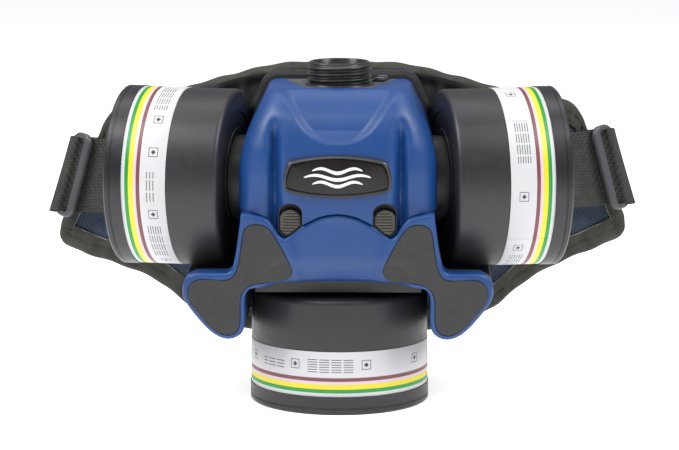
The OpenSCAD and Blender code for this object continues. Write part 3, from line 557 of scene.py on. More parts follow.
both_sides = ((-1, "left"), (1, "right"))
housing_black = moulded("housing_black", (0.018, 0.018, 0.020), 0.40, grain=2000, bump=0.09)
face_y = front_y + 2.0
for side, word in both_sides:
    cup = ring_loft(f"{word}_latch_cup", latch_outline(side, 0.50, 3.5),
                    [(0, face_y + 0.4), (0, face_y + 7.0), (-1.2, face_y + 7.0), (-1.2, face_y + 8.2)])
    cup_cut = prism("cup_cut", latch_outline(side, 0.22, 3.2), face_y - 3, face_y + 6.2)
    cut_away(cup, [cup_cut])
    dress(cup, housing_black, "unit")


# ---- Latch buttons --------------------------------------------------------
# Two sliding buttons in matt grey-brown plastic, each with eight raised ribs
# for the thumb. They slide up to free the battery.
def slab(name, front, back, sharp):
    """Joins two grids of points of one size into a closed body, with a wall round their border."""
    rows, columns = front.shape[:2]
    n = rows * columns
    skin = grid_faces(rows, columns)
    faces = skin + [[n + i for i in f[::-1]] for f in skin]
    border = ([(0, j) for j in range(columns)] + [(i, columns - 1) for i in range(1, rows)]
              + [(rows - 1, j) for j in range(columns - 2, -1, -1)]
              + [(i, 0) for i in range(rows - 2, 0, -1)])
    ids = [i * columns + j for i, j in border]
    faces += [[ids[k], ids[k - 1], n + ids[k - 1], n + ids[k]] for k in range(len(ids))]
    return finish_mesh(name, np.concatenate([front.reshape(-1, 3), back.reshape(-1, 3)]), faces, sharp)


def ribbed_button(name, side):
    """A domed button face on a grid. Each row runs between the outline's two edges at its height, and a
    cosine along the height makes the rounded ribs."""
    outline = latch_outline(side, -0.25)
    low, high = outline[:, 1].min(), outline[:, 1].max()
    rows, columns, waves = 97, 25, 8.6
    z = np.linspace(low, high, rows)
    middle = side * latch_x
    left, right = np.zeros(rows), np.zeros(rows)
    closed = np.vstack([outline, outline[:1]])
    for k in range(rows):
        hits = []
        for p, q in zip(closed[:-1], closed[1:]):
            if (p[1] - z[k]) * (q[1] - z[k]) <= 0 and abs(p[1] - q[1]) > 1e-9:
                hits.append(p[0] + (q[0] - p[0]) * (z[k] - p[1]) / (q[1] - p[1]))
        left[k], right[k] = (min(hits), max(hits)) if hits else (middle, middle)
    u = np.linspace(0, 1, columns)[None, :]
    x = left[:, None] + (right - left)[:, None] * u
    height = (z - low)[:, None] / (high - low)
    ribs = 0.5 + 0.5 * np.cos(height * waves * 2 * np.pi)
    rim = np.minimum(np.minimum(u, 1 - u) * 9, 1) * np.minimum(np.minimum(height, 1 - height) * 12, 1)
    y = face_y - 1.5 * ease(rim) * (0.35 + 0.65 * ribs ** 0.8) + 0.8 * (2 * u - 1) ** 2
    front = np.stack([x, y, np.broadcast_to(z[:, None], x.shape)], -1)
    back = front.copy()
    back[..., 1] = face_y + 5.2
    return slab(name, front, back, 50)


latch_brown = moulded("latch_brown", (0.070, 0.064, 0.052), 0.55, grain=1500, bump=0.15)
for side, word in both_sides:
    button = ribbed_button(f"{word}_latch_button", side)
    dress(button, latch_brown, f"latch_slide_{word}", [f"latch_{word}"])


# ---- Badge ----------------------------------------------------------------
# A bevelled grey frame set into the face with a glossy black lens in it. The
# lens carries three plain air-flow waves in white.
def edge_distance(points, outline):
    """Shortest distance from each point to a closed polyline."""
    a, b = outline, np.roll(outline, -1, 0)
    best = np.full(len(points), np.inf)
    for p, q in zip(a, b):
        d = q - p
        t = np.clip((points - p) @ d / max(d @ d, 1e-12), 0, 1)
        best = np.minimum(best, np.linalg.norm(points - (p + t[:, None] * d), axis=1))
    return best


def relief(name, outline, face, edge_r, back, height, spacing=1.6, sharp=34.0):
    """A slab with a quarter-round front edge. Its front is filled with a fine net of points whose depth
    is face + height(x, z)."""
    outline, inward = turned_inwards(outline)
    roll = np.radians(np.linspace(0, 90, 7))
    steps = [(0.0, back - face)] + [(edge_r * (1 - math.cos(t)), edge_r * (1 - math.sin(t))) for t in roll]
    loops = [outline + inward * inset for inset, _ in steps]
    n = len(outline)
    last = loops[-1]
    low, high = last.min(0), last.max(0)
    xs = np.arange(low[0] + spacing / 2, high[0], spacing)
    zs = np.arange(low[1] + spacing / 2, high[1], spacing)
    net = np.stack(np.meshgrid(xs, zs), -1).reshape(-1, 2)
    net = net[edge_distance(net, last) > spacing * 0.55]
    found = delaunay_2d_cdt([Vector(p) for p in np.vstack([last, net])], [], [list(range(n))], 1, 1e-5)
    inner = np.array([v[:] for v in found[0]])
    points = []
    for loop, (_, dy) in zip(loops, steps):
        bow = height(loop[:, 0], loop[:, 1]) if dy < edge_r + 1e-6 else 0
        points.append(np.stack([loop[:, 0], np.full(n, face + dy) + bow, loop[:, 1]], -1))
    start = len(steps) * n
    points.append(np.stack([inner[:, 0], face + height(inner[:, 0], inner[:, 1]), inner[:, 1]], -1))
    where = {}
    for k, sources in enumerate(found[3]):
        rims = [s for s in sources if s < n]
        where[k] = start - n + rims[0] if rims else start + k
    faces = grid_faces(len(steps), n, False, True)
    faces += [[where[i] for i in f] for f in found[2]]
    faces.append(list(range(n)))
    piece = finish_mesh(name, np.vstack(points), faces, sharp)
    tidy_mesh(piece, sharp)
    return piece


def tidy_mesh(piece, sharp):
    """Drops loose points and turns all faces outwards."""
    work = bmesh.new()
    work.from_mesh(piece.data)
    loose = [v for v in work.verts if not v.link_faces]
    bmesh.ops.delete(work, geom=loose, context="VERTS")
    bmesh.ops.recalc_face_normals(work, faces=work.faces)
    work.to_mesh(piece.data)
    work.free()
    if signed_volume(piece.data) < 0:
        piece.data.flip_normals()
    piece.data.polygons.foreach_set("use_smooth", np.ones(len(piece.data.polygons), bool))
    piece.data.set_sharp_from_angle(angle=math.radians(sharp))


def badge_outline(grow):
    """The badge's outline, moved out by `grow`: bowed top and bottom edges, joined by ends that lean
    out to a point half way up."""
    u = np.linspace(-1, 1, 41)
    corner = 2.0 * np.clip(np.abs(u) - 0.92, 0, 1) ** 2 / 0.08 ** 2
    top = np.stack([(28.6 + grow) * u, 15.6 + grow + 4.0 * (1 - u**2) - corner], -1)
    low = np.stack([(30.6 + grow) * u[::-1], 1.6 - grow - 4.2 * (1 - u[::-1] ** 2) + corner[::-1]], -1)
    side = np.array([[30.4 + grow, 8.6]])
    ring = np.vstack([top, side, low, side * [-1, 1]])
    return ring + [0, axis_z]


badge_y = front_y + 0.25
badge_grey = moulded("badge_grey", (0.036, 0.034, 0.033), 0.24, grain=1800, bump=0.06)
bezel = ring_loft("badge_bezel", badge_outline(1.6),
                  [(0, badge_y + 1.6), (0, badge_y - 0.5), (0.3, badge_y - 1.2), (0.8, badge_y - 1.55),
                   (1.3, badge_y - 1.5), (1.8, badge_y - 0.9), (1.85, badge_y - 0.2), (1.9, badge_y + 1.0)])
dress(bezel, badge_grey, "unit", ["badge_frame"])
lens_black = moulded("lens_black", (0.012, 0.010, 0.010), 0.22, grain=500, bump=0.01, mottle=0.2,
                     specular=0.3)
lens_y = badge_y - 0.6


def lens_bulge(x, z):
    """How far the lens stands out of its plane: most in its middle, falling off with x and z squared."""
    return -1.3 * (1 - (x / 31) ** 2) * (1 - ((z - axis_z - 8.6) / 12) ** 2)


lens = relief("badge_lens", badge_outline(-0.32), lens_y, 0.7, badge_y + 0.6, lens_bulge, 1.5)
dress(lens, lens_black, "unit", ["badge_plate"])


def wave_bar(name, low, length, thick, lift):
    """A flat ribbon whose middle line is one and a half turns of a sine wave along x, tapered to a point
    at each end."""
    steps, swing = 60, 1.35
    u = np.linspace(0, 1, steps)
    x = (u - 0.5) * length
    mid = axis_z + low + swing * np.sin(u * 2 * np.pi * 1.5)
    face = lens_y + lens_bulge(x, mid)
    half = thick / 2 * np.clip(np.sin(u * np.pi), 0, 1) ** 0.35 + 0.02
    rows = []
    for side, depth in ((-1, 0.3), (-1, -lift), (1, -lift), (1, 0.3)):
        rows.append(np.stack([x, face + depth, mid + side * half], -1))
    points = np.stack(rows, 1)
    faces = grid_faces(steps, 4, False, True) + [[0, 1, 2, 3], [(steps - 1) * 4 + i for i in (3, 2, 1, 0)]]
    return finish_mesh(name, points.reshape(-1, 3), faces)


mark_white = moulded("mark_white", (0.82, 0.82, 0.83), 0.35, grain=900, bump=0.02, mottle=0.02)
for k, (low, length) in enumerate(((12.4, 30), (8.4, 40), (4.4, 30))):
    wave = wave_bar(f"badge_wave_{k + 1}", low, length, 2.0, 0.16)
    dress(wave, mark_white, "unit")


# ---- Battery front --------------------------------------------------------
# The blue shell of the battery pack: a bowed centre, two raised ridges and a
# wing on each side with a shallow seat for its grip pad.
def closed_curve(points, per=7):
    """A closed centripetal Catmull-Rom curve through the points: `per` points for each span, blended from
    the four given points round it, with knots spaced by the square root of their distances."""
    p = np.asarray(points, float)
    before, here, after, beyond = np.roll(p, 1, 0), p, np.roll(p, -1, 0), np.roll(p, -2, 0)
    knot = [np.linalg.norm(b - a, axis=1, keepdims=True) ** 0.5 + 1e-6
            for a, b in ((before, here), (here, after), (after, beyond))]
    t1, t2 = knot[0], knot[0] + knot[1]
    t3 = t2 + knot[2]
    out = []
    for share in np.arange(per) / per:
        t = t1 + share * (t2 - t1)
        a1 = (t1 - t) / t1 * before + t / t1 * here
        a2 = (t2 - t) / (t2 - t1) * here + (t - t1) / (t2 - t1) * after
        a3 = (t3 - t) / (t3 - t2) * after + (t - t2) / (t3 - t2) * beyond
        b1 = (t2 - t) / t2 * a1 + t / t2 * a2
        b2 = (t3 - t) / (t3 - t1) * a2 + (t - t1) / (t3 - t1) * a3
        out.append((t2 - t) / (t2 - t1) * b1 + (t - t1) / (t2 - t1) * b2)
    return np.stack(out, 1).reshape(-1, 2)


wing = np.array([
    [57.2, -13.9], [57.8, -17.8], [60.0, -34], [61.4, -42], [62.9, -47.0], [65.2, -49.1], [70, -49.5],
    [78, -49.6], [84.8, -49.9], [89.2, -51.9], [92.0, -56.0], [92.8, -61.0], [92.0, -65.8], [89.3, -70.4],
    [84.6, -76.4], [78.6, -83.0], [73.6, -87.0], [68.9, -89.1], [64.5, -89.6], [60.2, -88.2], [57.0, -85.6],
    [55.5, -81.5], [55.2, -76], [55.2, -66], [54.6, -62.3], [52.6, -59.6], [49.5, -58.6], [45.7, -58.2],
    [38, -57.0], [31.4, -56.3], [16, -55.9], [0, -55.8]])
top_edge = np.array([p for p in parting if 0.1 < p[0] < 50]) - [0, 0.6]
half = np.vstack([[[0, -14.2]], top_edge, wing])
mirrored = half[1:-1][::-1] * [-1, 1]
battery_outline = closed_curve(np.vstack([half, mirrored]), 4) + [0, axis_z]
battery_y = np.array(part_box("battery_cover"))[0][1] / MM

grip_half = np.array([
    [56.3, -26.5], [54.9, -22.6], [52.2, -20.6], [48.6, -19.9], [44.4, -20.4], [41.0, -22.4], [38.6, -25.4],
    [35.2, -30.8], [31.6, -37.4], [29.0, -42.8], [27.6, -46.6], [27.3, -49.8], [28.4, -52.4], [31.2, -53.8],
    [37.4, -54.7], [44.5, -55.4], [50.6, -56.4], [54.4, -58.6], [56.8, -61.8], [57.9, -66], [58.0, -72],
    [58.1, -78.6], [59.0, -82.8], [61.2, -85.7], [64.6, -87.0], [68.6, -86.6], [72.8, -84.6], [77.6, -80.4],
    [83.0, -74.2], [87.6, -68.6], [89.3, -64.6], [89.3, -60.6], [88.0, -57.2], [85.2, -54.6], [81, -53.7],
    [74, -53.6], [67.2, -53.6], [63.4, -52.4], [61.0, -49.4], [59.2, -44.6], [58.0, -38.6], [57.0, -31.6]])


def grip_outline(side, grow):
    """The waisted outline of a grip pad, moved out along its normals by `grow`."""
    curve, inward = turned_inwards(closed_curve(grip_half * [side, 1] + [0, axis_z], 4))
    return curve - inward * grow


def battery_bow(x, z):
    """Depth of the battery's face: it dips between two ridges, bows back towards the wings' tips, and
    its lower middle falls away as a skirt."""
    h = z - axis_z
    ridge_x = 30.5 - (h + 28) * -0.22
    centre = 2.0 * ease((ridge_x - np.abs(x)) / 5.0) * ease((-14 - h) / 16 + 0.55)
    tips = 4.0 * ease((np.abs(x) - 56) / 45)
    skirt = 8.0 * ease((-38 - h) / 20) ** 1.5 * ease((46 - np.abs(x)) / 12)
    return centre + tips + skirt


shell = relief("battery_shell", battery_outline, battery_y, 2.2, battery_y + 14.6, battery_bow, 1.8)
grip_depth = 1.2
for side in (-1, 1):
    outline = grip_outline(side, 0.25)
    seat = relief("grip_seat", outline, battery_y + grip_depth, 0.2, battery_y - 12, battery_bow, 3.0)
    cut_away(shell, [seat])
dress(shell, cover_blue, "battery", ["battery_cover"])


# ---- Battery grip pads ----------------------------------------------------
# Two soft-touch pads bonded into the wings' seats, matt dark grey with a
# fine moulded grain and a rolled edge.
grip_grey = moulded("grip_grey", (0.026, 0.026, 0.026), 0.62, grain=2600, bump=0.22, mottle=0.06)
for side, word in both_sides:
    pad = relief(f"{word}_grip_pad", grip_outline(side, 0.0), battery_y + 0.1, 0.55, battery_y + grip_depth,
                 battery_bow, 1.8)
    dress(pad, grip_grey, "battery", [f"grip_{word}"])


# ---- Battery case and cells ----------------------------------------------
# The black back half of the pack with its two cell lobes, four shrink-wrapped
# cells and plated contact blades. All keep their CAD shapes.
case_black = moulded("case_black", (0.022, 0.022, 0.025), 0.45, grain=1700, bump=0.10)
cell_purple = moulded("cell_purple", (0.16, 0.05, 0.26), 0.25, grain=700, bump=0.03, coat=0.4)
plated_brass = moulded("plated_brass", (0.72, 0.50, 0.18), 0.25, grain=900, bump=0.05, metallic=1.0,
                       streak=(1, 6, 1))
dress(frame["nodes"]["battery_case"], case_black)
dress(frame["nodes"]["battery_cells"], cell_purple)
dress(frame["nodes"]["battery_contacts"], plated_brass)


# ---- Hose outlet ----------------------------------------------------------
# The outlet spigot with its round thread: 40 mm over the crests and seven
# turns to the inch, with a smooth bore and a small foot.
def threaded_spigot():
    """r = root + depth * ((1 + cos(2 pi (h / pitch) - a)) / 2) ** 1.25, faded at the thread's two ends."""
    low, high = np.array(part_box("hose_outlet")) / MM
    pitch, crest, depth, bore = 3.629, 20.0, 1.9, 16.0
    root, top, foot = crest - depth, high[2], low[2]
    start = crown_z + 1.1
    turns, levels = 192, 150
    a = np.linspace(0, 2 * np.pi, turns, endpoint=False)[:, None]
    h = np.linspace(start, top - 0.35, levels)[None, :]
    wave = (0.5 + 0.5 * np.cos(2 * np.pi * ((h - start) / pitch - a / (2 * np.pi)))) ** 1.25
    fade = ease((h - start) / 0.8) * ease((top - 0.4 - h) / 0.7)
    r = root + depth * wave * fade
    rest = [(root, top - 0.4), (root - 0.3, top - 0.1), (root - 0.9, top), (bore + 0.5, top),
            (bore, top - 0.5), (bore, foot), (bore + 2.6, foot), (bore + 2.6, crown_z - 5.0),
            (22.6, crown_z - 5.0), (23.6, crown_z - 3.2), (20.7, crown_z - 2.9), (20.7, crown_z + 0.5),
            (20.3, crown_z + 0.9), (root + 0.2, crown_z + 1.0)]
    ring_r = np.hstack([r] + [np.full((turns, 1), p[0]) for p in rest])
    ring_h = np.hstack([np.broadcast_to(h, r.shape)] + [np.full((turns, 1), p[1]) for p in rest])
    points = np.stack([ring_r * np.cos(a), ring_r * np.sin(a), ring_h], -1)
    faces = grid_faces(turns, ring_r.shape[1], True, True)
    return finish_mesh("threaded_spigot", points.reshape(-1, 3), faces, 45)


spigot_black = moulded("spigot_black", (0.020, 0.020, 0.021), 0.30, grain=1500, bump=0.06)
dress(threaded_spigot(), spigot_black, "unit", ["hose_outlet"])


# ---- Top panel, keys and indicator ---------------------------------------
# A matt dark grey panel round the outlet with a raised key island and a slim
# indicator lens. They keep their CAD shapes.
panel_grey = moulded("panel_grey", (0.075, 0.078, 0.084), 0.50, grain=2400, bump=0.20, mottle=0.12)
key_grey = moulded("key_grey", (0.10, 0.105, 0.11), 0.58, grain=1700, bump=0.12)
lens_green = moulded("lens_green", (0.20, 0.34, 0.26), 0.18, grain=600, bump=0.02, coat=0.6)
dress(frame["nodes"]["top_panel"], panel_grey)
dress(frame["nodes"]["keypad_bezel"], housing_black)
dress(frame["nodes"]["power_key"], key_grey)
dress(frame["nodes"]["flow_key"], key_grey)
dress(frame["nodes"]["indicator_lens"], lens_green)


# ---- Rear housing and its rim --------------------------------------------
# The black rear half. A raised rim follows the blue cover's edge and steps
# out at the top corners, where the housing meets the curved plate.
dress(frame["nodes"]["rear_housing"], housing_black)


def housing_rim():
    """A band carried along the cover's back edge, up one side and down the other. Its section is a list of
    (out, back) points, and it grows outwards at the top corners."""
    z = np.append(np.linspace(axis_z - 6, crown_z, 120), crown_z)
    x = cover_half_width(z)
    x = np.minimum(x, port_plane(split_y + 8) + 4 * ease((z - axis_z - 40) / 8))
    half_line = np.stack([x, z], -1)
    line = np.vstack([half_line, half_line[::-1] * [-1, 1]])
    tangent = np.gradient(line, axis=0)
    tangent /= np.linalg.norm(tangent, axis=1, keepdims=True) + 1e-9
    outward = np.stack([tangent[:, 1], -tangent[:, 0]], -1)
    profile = [(-3.0, 0.25), (0.5, 0.25), (1.1, 0.6), (1.2, 1.9), (0.8, 2.7), (1.3, 3.2), (2.1, 4.0),
               (2.3, 6.6), (1.5, 8.8), (-3.0, 9.4)]
    grow = 1 + 1.1 * ease((line[:, 1] - axis_z - 34) / 9)
    rows = []
    for out, back in profile:
        depth = np.full(len(line), split_y + back)
        rows.append(np.stack([line[:, 0] + outward[:, 0] * out * grow, depth,
                              line[:, 1] + outward[:, 1] * out * grow], -1))
    points = np.stack(rows, 1)
    n = len(profile)
    faces = grid_faces(len(line), n, False, True)
    faces += [list(range(n)), [(len(line) - 1) * n + i for i in range(n)][::-1]]
    return finish_mesh("housing_rim", points.reshape(-1, 3), faces, 40)


dress(housing_rim(), housing_black, "unit")


# ---- Inner parts ----------------------------------------------------------
# What the covers hide: port tubes, seals, fan, motor, board, buzzer, battery
# socket, screws, carbon beds and pleated papers. They keep their CAD shapes.
insert_black = moulded("insert_black", (0.028, 0.028, 0.030), 0.45, grain=1700, bump=0.08)
seal_black = moulded("seal_black", (0.030, 0.030, 0.031), 0.75, grain=1300, bump=0.15)
zinc_steel = moulded("zinc_steel", (0.55, 0.56, 0.58), 0.30, grain=900, bump=0.06, metallic=1.0)
fan_natural = moulded("fan_natural", (0.70, 0.71, 0.71), 0.45, grain=1400, bump=0.06)
scroll_grey = moulded("scroll_grey", (0.09, 0.095, 0.105), 0.45, grain=1600, bump=0.08)
turned_alloy = moulded("turned_alloy", (0.58, 0.59, 0.61), 0.32, bump=0.10, metallic=1.0,
                       streak=(1, 9, 1))
board_green = moulded("board_green", (0.022, 0.14, 0.065), 0.32, grain=800, bump=0.06, mottle=0.2,
                      coat=0.3)
carbon_bed = moulded("carbon_bed", (0.015, 0.015, 0.015), 0.85, grain=420, bump=0.9, mottle=0.4)
fibre_paper = moulded("fibre_paper", (0.80, 0.77, 0.70), 0.90, grain=1500, bump=0.35, streak=(1, 1, 4))
inner = {
    insert_black: ["port_insert_left", "port_insert_right", "port_insert_bottom", "buzzer",
                   "battery_socket"],
    seal_black: ["outlet_gasket", "left_seal", "right_seal", "bottom_seal"],
    zinc_steel: ["cover_screws", "plate_screws"],
    fan_natural: ["impeller"],
    scroll_grey: ["fan_scroll"],
    turned_alloy: ["motor"],
    board_green: ["circuit_board"],
    carbon_bed: ["left_carbon", "right_carbon", "bottom_carbon"],
    fibre_paper: ["left_pleats", "right_pleats", "bottom_pleats"],
}
for paint, names in inner.items():
    for name in names:
        dress(frame["nodes"][name], paint)


# ---- Curved back plate ----------------------------------------------------
# A flexible black plate between the unit and the padding, moulded with a
# raised rim and sunk panels, in a centre part and two wings.
belt_flat, belt_r, wing_start, plate_end = 50.0, 170.0, 100.0, 148.0
belt_y = np.array(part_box("pad_center"))[0][1] / MM
lean_max, lean_z = math.radians(17), axis_z - 11.5


def on_belt(s, h, t):
    """A belt point: s along it, h its height, t behind its front face. In plan it is flat as far as
    belt_flat, then an arc of radius belt_r; past the wings' start the lower edge leans outwards."""
    bend = np.maximum(np.abs(s) - belt_flat, 0) / belt_r
    flank = np.where(s < 0, -1.0, 1.0)
    tilt = lean_max * ease((np.abs(s) - wing_start - 5) / 95)
    out = (lean_z - h) * np.tan(tilt) - t
    x = flank * (np.minimum(np.abs(s), belt_flat) + belt_r * np.sin(bend) + np.sin(bend) * out)
    y = belt_y + belt_r * (1 - np.cos(bend)) - np.cos(bend) * out
    return np.stack([x, y, h + 0 * x], -1)


plate_top = np.array([[0, 61.0], [20, 60.3], [41, 58.5], [53, 57.2], [71, 52.5], [85, 47.5], [125, 33],
                      [150, 21.5]])
plate_low = np.array([[0, -66], [60, -66], [100, -48], [125, -36], [150, -24]])


def edge_height(s, table):
    """The plate's edge height, on straight lines between its table's points."""
    return axis_z + np.interp(np.abs(s), table[:, 0], table[:, 1])


def plate_sheet(name, s0, s1):
    """Front and back skins over an (s, v) grid. The front stands out along the rim and two upright ribs,
    and sinks in the panels between them."""
    across, up = 90, 60
    s = np.linspace(s0, s1, across)[:, None]
    v = np.linspace(0, 1, up)[None, :]
    low, high = edge_height(s, plate_low), edge_height(s, plate_top)
    h = low + (high - low) * v
    tip = plate_end - 8 * (np.abs(2 * v - 1)) ** 6
    s_here = np.clip(np.broadcast_to(s, h.shape), -tip, tip)
    from_edge = np.minimum(h - low, high - h)
    from_tip = plate_end + 2 - np.abs(s_here)
    rim = 1 - ease((np.minimum(from_edge, from_tip) - 3.4) / 1.4)
    rib = sum(np.exp(-((np.abs(s_here) - rib_s) / 1.8) ** 4) for rib_s in (62, 96))
    front = on_belt(s_here, h, -1.6 - 1.85 * np.clip(rim + rib, 0, 1))
    back = on_belt(s_here, h, np.full(h.shape, -0.4))
    piece = slab(name, front, back, 40)
    tidy_mesh(piece, 40)
    return piece


plate_black = moulded("plate_black", (0.036, 0.035, 0.036), 0.30, grain=1800, bump=0.10)
dress(plate_sheet("centre_plate", -99.4, 99.4), plate_black, "unit", ["back_plate"])
for side, word in both_sides:
    sheet = plate_sheet(f"{word}_wing_plate", side * 99.8, side * plate_end)
    dress(sheet, plate_black, f"belt_wing_{word}", [f"wing_plate_{word}"])


# ---- Padded belt ----------------------------------------------------------
# Foam between spacer mesh, bound round the edge with folded tape. It is
# one pad; each half here curves round the belt over its wing's hinge line as one fixed piece and meets the
# other at the spine.
pad_top = np.array([[0, 64.4], [18, 63.9], [34, 62.4], [71, 55.5], [84, 51.5], [98.6, 46.5], [168, 28],
                    [200, 22]])
pad_low = np.array([[0, -109.5], [40, -109.5], [60, -107.5], [97, -95.5], [128, -75.5], [167, -65.5],
                    [200, -56.5]])
pad_t, pad_end = 14.0, 199.0


def smooth_edge(s, table):
    """The pad's edge height, eased between its table's points."""
    return axis_z + smooth_interp(np.abs(s), table[:, 0], table[:, 1])


def rise(side, s):
    """How much higher the belt's right-hand end sits, eased in along the wing."""
    return 6.0 * ease((np.abs(s) - 95) / 85) if side > 0 else 0.0 * np.abs(s)


def pad_frame(side, s, v):
    """Where the pad's mid-surface is for s along and v from bottom to top. The end slants back to the
    top, and its two corners are rounded."""
    low_turn, top_turn = (1 - np.sqrt(1 - np.clip(1 - near / 0.17, 0, 1) ** 2) for near in (v, 1 - v))
    reach = pad_end - 28.0 * v - 13 * low_turn - 13 * top_turn
    s_here = s * (reach / pad_end)
    low, high = smooth_edge(s_here, pad_low), smooth_edge(s_here, pad_top)
    return side * s_here, low + (high - low) * v + rise(side, s_here)


def pad_half(name, side):
    """A closed ring of points round the pad's section, carried along it. The section is crowned and
    pinched at the edges, with sewn channels and puckers next to the binding."""
    along, around = 150, 96
    s = pad_end * (np.linspace(0.0, 1, along) ** 0.95)[:, None]
    angle = np.linspace(0, 2 * np.pi, around, endpoint=False)[None, :]
    v = 0.5 + 0.5 * np.sign(np.sin(angle)) * np.abs(np.sin(angle)) ** 0.62
    v = np.clip(v, 0.004, 0.996)
    depth = np.sign(np.cos(angle)) * np.abs(np.cos(angle)) ** 0.42
    s_here, h = pad_frame(side, s, v)
    edge = np.minimum(v, 1 - v) * (smooth_edge(s_here, pad_top) - smooth_edge(s_here, pad_low))
    end = np.maximum(pad_end - s, 0)
    taper = 0.22 + 0.76 * ease(np.minimum(edge, end * 1.3) / 17)
    pucker = 0.55 * np.sin(s * 1.15 + 3 * v) * np.exp(-np.minimum(edge, end + 1) / 7.0)
    channel = 1.5 * sum(np.exp(-((v - channel_v) * 60) ** 2 / 18) for channel_v in (0.30, 0.70))
    half_t = (pad_t / 2 - 0.5) * taper
    t = pad_t / 2 + depth * (half_t + np.where(depth > 0, 1, 0.35) * (pucker - channel * np.abs(depth)))
    points = on_belt(s_here, h, np.clip(t, 0.3, pad_t))
    uv = np.stack([s + 0 * v, h], -1).reshape(-1, 2) * MM
    faces = grid_faces(along, around, False, True)
    faces += [list(range(around)), [(along - 1) * around + i for i in range(around)][::-1]]
    return finish_mesh(name, points.reshape(-1, 3), faces, 60, uv)


def crossed_waves(cloth, pair, distortion, kind):
    """Joins two wave patterns in the piece's own UV map; each is (turn in degrees, direction, scale)."""
    uv = add_node(cloth, "UVMap", {}, "UV", uv_map="UVMap")
    heights = []
    for turn, direction, scale in pair:
        spin = add_node(cloth, "Mapping", {"Rotation": (0, 0, math.radians(turn)), "Vector": uv}, "Vector")
        sizes = {"Scale": scale, "Distortion": distortion, "Vector": spin}
        heights.append(add_node(cloth, "TexWave", sizes, "Fac", bands_direction=direction))
    return add_node(cloth, "Math", dict(enumerate(heights)), 0, operation=kind)


def hinge_blend(piece):
    """Bakes the piece's placement into its mesh; the piece does not bend across the belt's hinge line."""
    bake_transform(piece)


mesh_cloth = moulded("spacer_mesh", (0.014, 0.020, 0.036), 0.85, grain=900, bump=0.2, mottle=0.15)
cells = crossed_waves(mesh_cloth, [(45, "X", 165.0), (-45, "X", 165.0)], 0.6, "MULTIPLY")
yarn, hole = (0.012, 0.030, 0.062, 1), (0.002, 0.003, 0.006, 1)
set_shader(mesh_cloth, Sheen_Weight=0.25, Base_Color=mix_colours(mesh_cloth, cells, yarn, hole))
set_bump(mesh_cloth, cells, 0.6, 0.0006, True)
for side, word in both_sides:
    half_pad = pad_half(f"{word}_belt_pad", side)
    names = [f"wing_pad_{word}"] + (["pad_center"] if side < 0 else [])
    dress(half_pad, mesh_cloth, None, names)
    hinge_blend(half_pad)


# ---- Belt binding ---------------------------------------------------------
# A soft olive-black border, stuffed and sewn round the pad's edge. It is
# gathered as it goes round, so it puckers, and a fine piping cord marks its
# seam; the cord's light grey colour is a painted highlight along the seam.
def edge_line(side, count=520):
    """The pad's edge in belt coordinates, from the spine along the top, round the end and back below,
    evenly spaced, with its inward normals and the distance run."""
    along, round_end = 200, 0.5 + 0.5 * np.cos(np.linspace(0, np.pi, 160))[1:-1]
    out = np.linspace(0, pad_end, along)
    s = np.concatenate([out, np.full(len(round_end), pad_end), np.linspace(pad_end, 0, along)])
    v = np.concatenate([np.ones(along), round_end, np.zeros(along)])
    line = np.stack(pad_frame(side, s, v), -1)
    run = np.concatenate([[0], np.cumsum(np.linalg.norm(np.diff(line, axis=0), axis=1))])
    even = np.linspace(0, run[-1], count)
    line = np.stack([np.interp(even, run, line[:, k]) for k in (0, 1)], -1)
    for _ in range(6):
        line[1:-1] = 0.25 * line[:-2] + 0.5 * line[1:-1] + 0.25 * line[2:]
    tangent = np.gradient(line, axis=0)
    tangent /= np.linalg.norm(tangent, axis=1, keepdims=True)
    inward = side * np.stack([tangent[:, 1], -tangent[:, 0]], -1)
    inward[0], inward[-1] = (0, -1), (0, 1)
    return line, inward, even


def binding(name, side, width=14.0):
    """Carries a stuffed C-shaped section round the edge: half thickness grows as a quarter circle, then
    eases down to the seam, and waves along the run make the puckers."""
    line, inward, run = edge_line(side)
    fold = np.concatenate([-np.linspace(1, 0, 22) ** 1.4, np.linspace(0, 1, 22)[1:] ** 1.4])
    rows = []
    for f in fold:
        drop = abs(f) * width
        swell = 6.9 * np.sqrt(1 - (1 - min(drop / 4.5, 1)) ** 2) - 1.1 * math.exp(-((drop - 8.2) / 0.9) ** 2)
        phase = run * 0.42 + 1.3 * np.sin(run * 0.045) + (2.0 if f > 0 else 0.0)
        pucker = (0.75 * np.sin(phase) + 0.5 * np.sin(phase * 0.43 + 1)) * ease(drop / width * 2.4)
        wander = 0.5 * np.sin(run * 0.11) + 0.35 * np.sin(run * 0.27 + 2)
        spot = line + inward * (drop + wander * (1 - drop / width))[:, None]
        t = pad_t / 2 + np.sign(f) * (swell + pucker) if f else np.full(len(run), pad_t / 2)
        rows.append(on_belt(spot[:, 0], spot[:, 1], np.clip(t, -0.25, pad_t + 1.0)))
    points = np.stack(rows, 1)
    uv = np.stack([np.repeat(run, len(fold)), np.tile(fold * width, len(run))], -1) * MM
    piece = finish_mesh(name, points.reshape(-1, 3), grid_faces(len(run), len(fold)), 70, uv)
    settle(piece, ("SOLIDIFY", {"thickness": 0.9 * MM, "offset": 0.0}))
    tidy_mesh(piece, 70)
    return piece


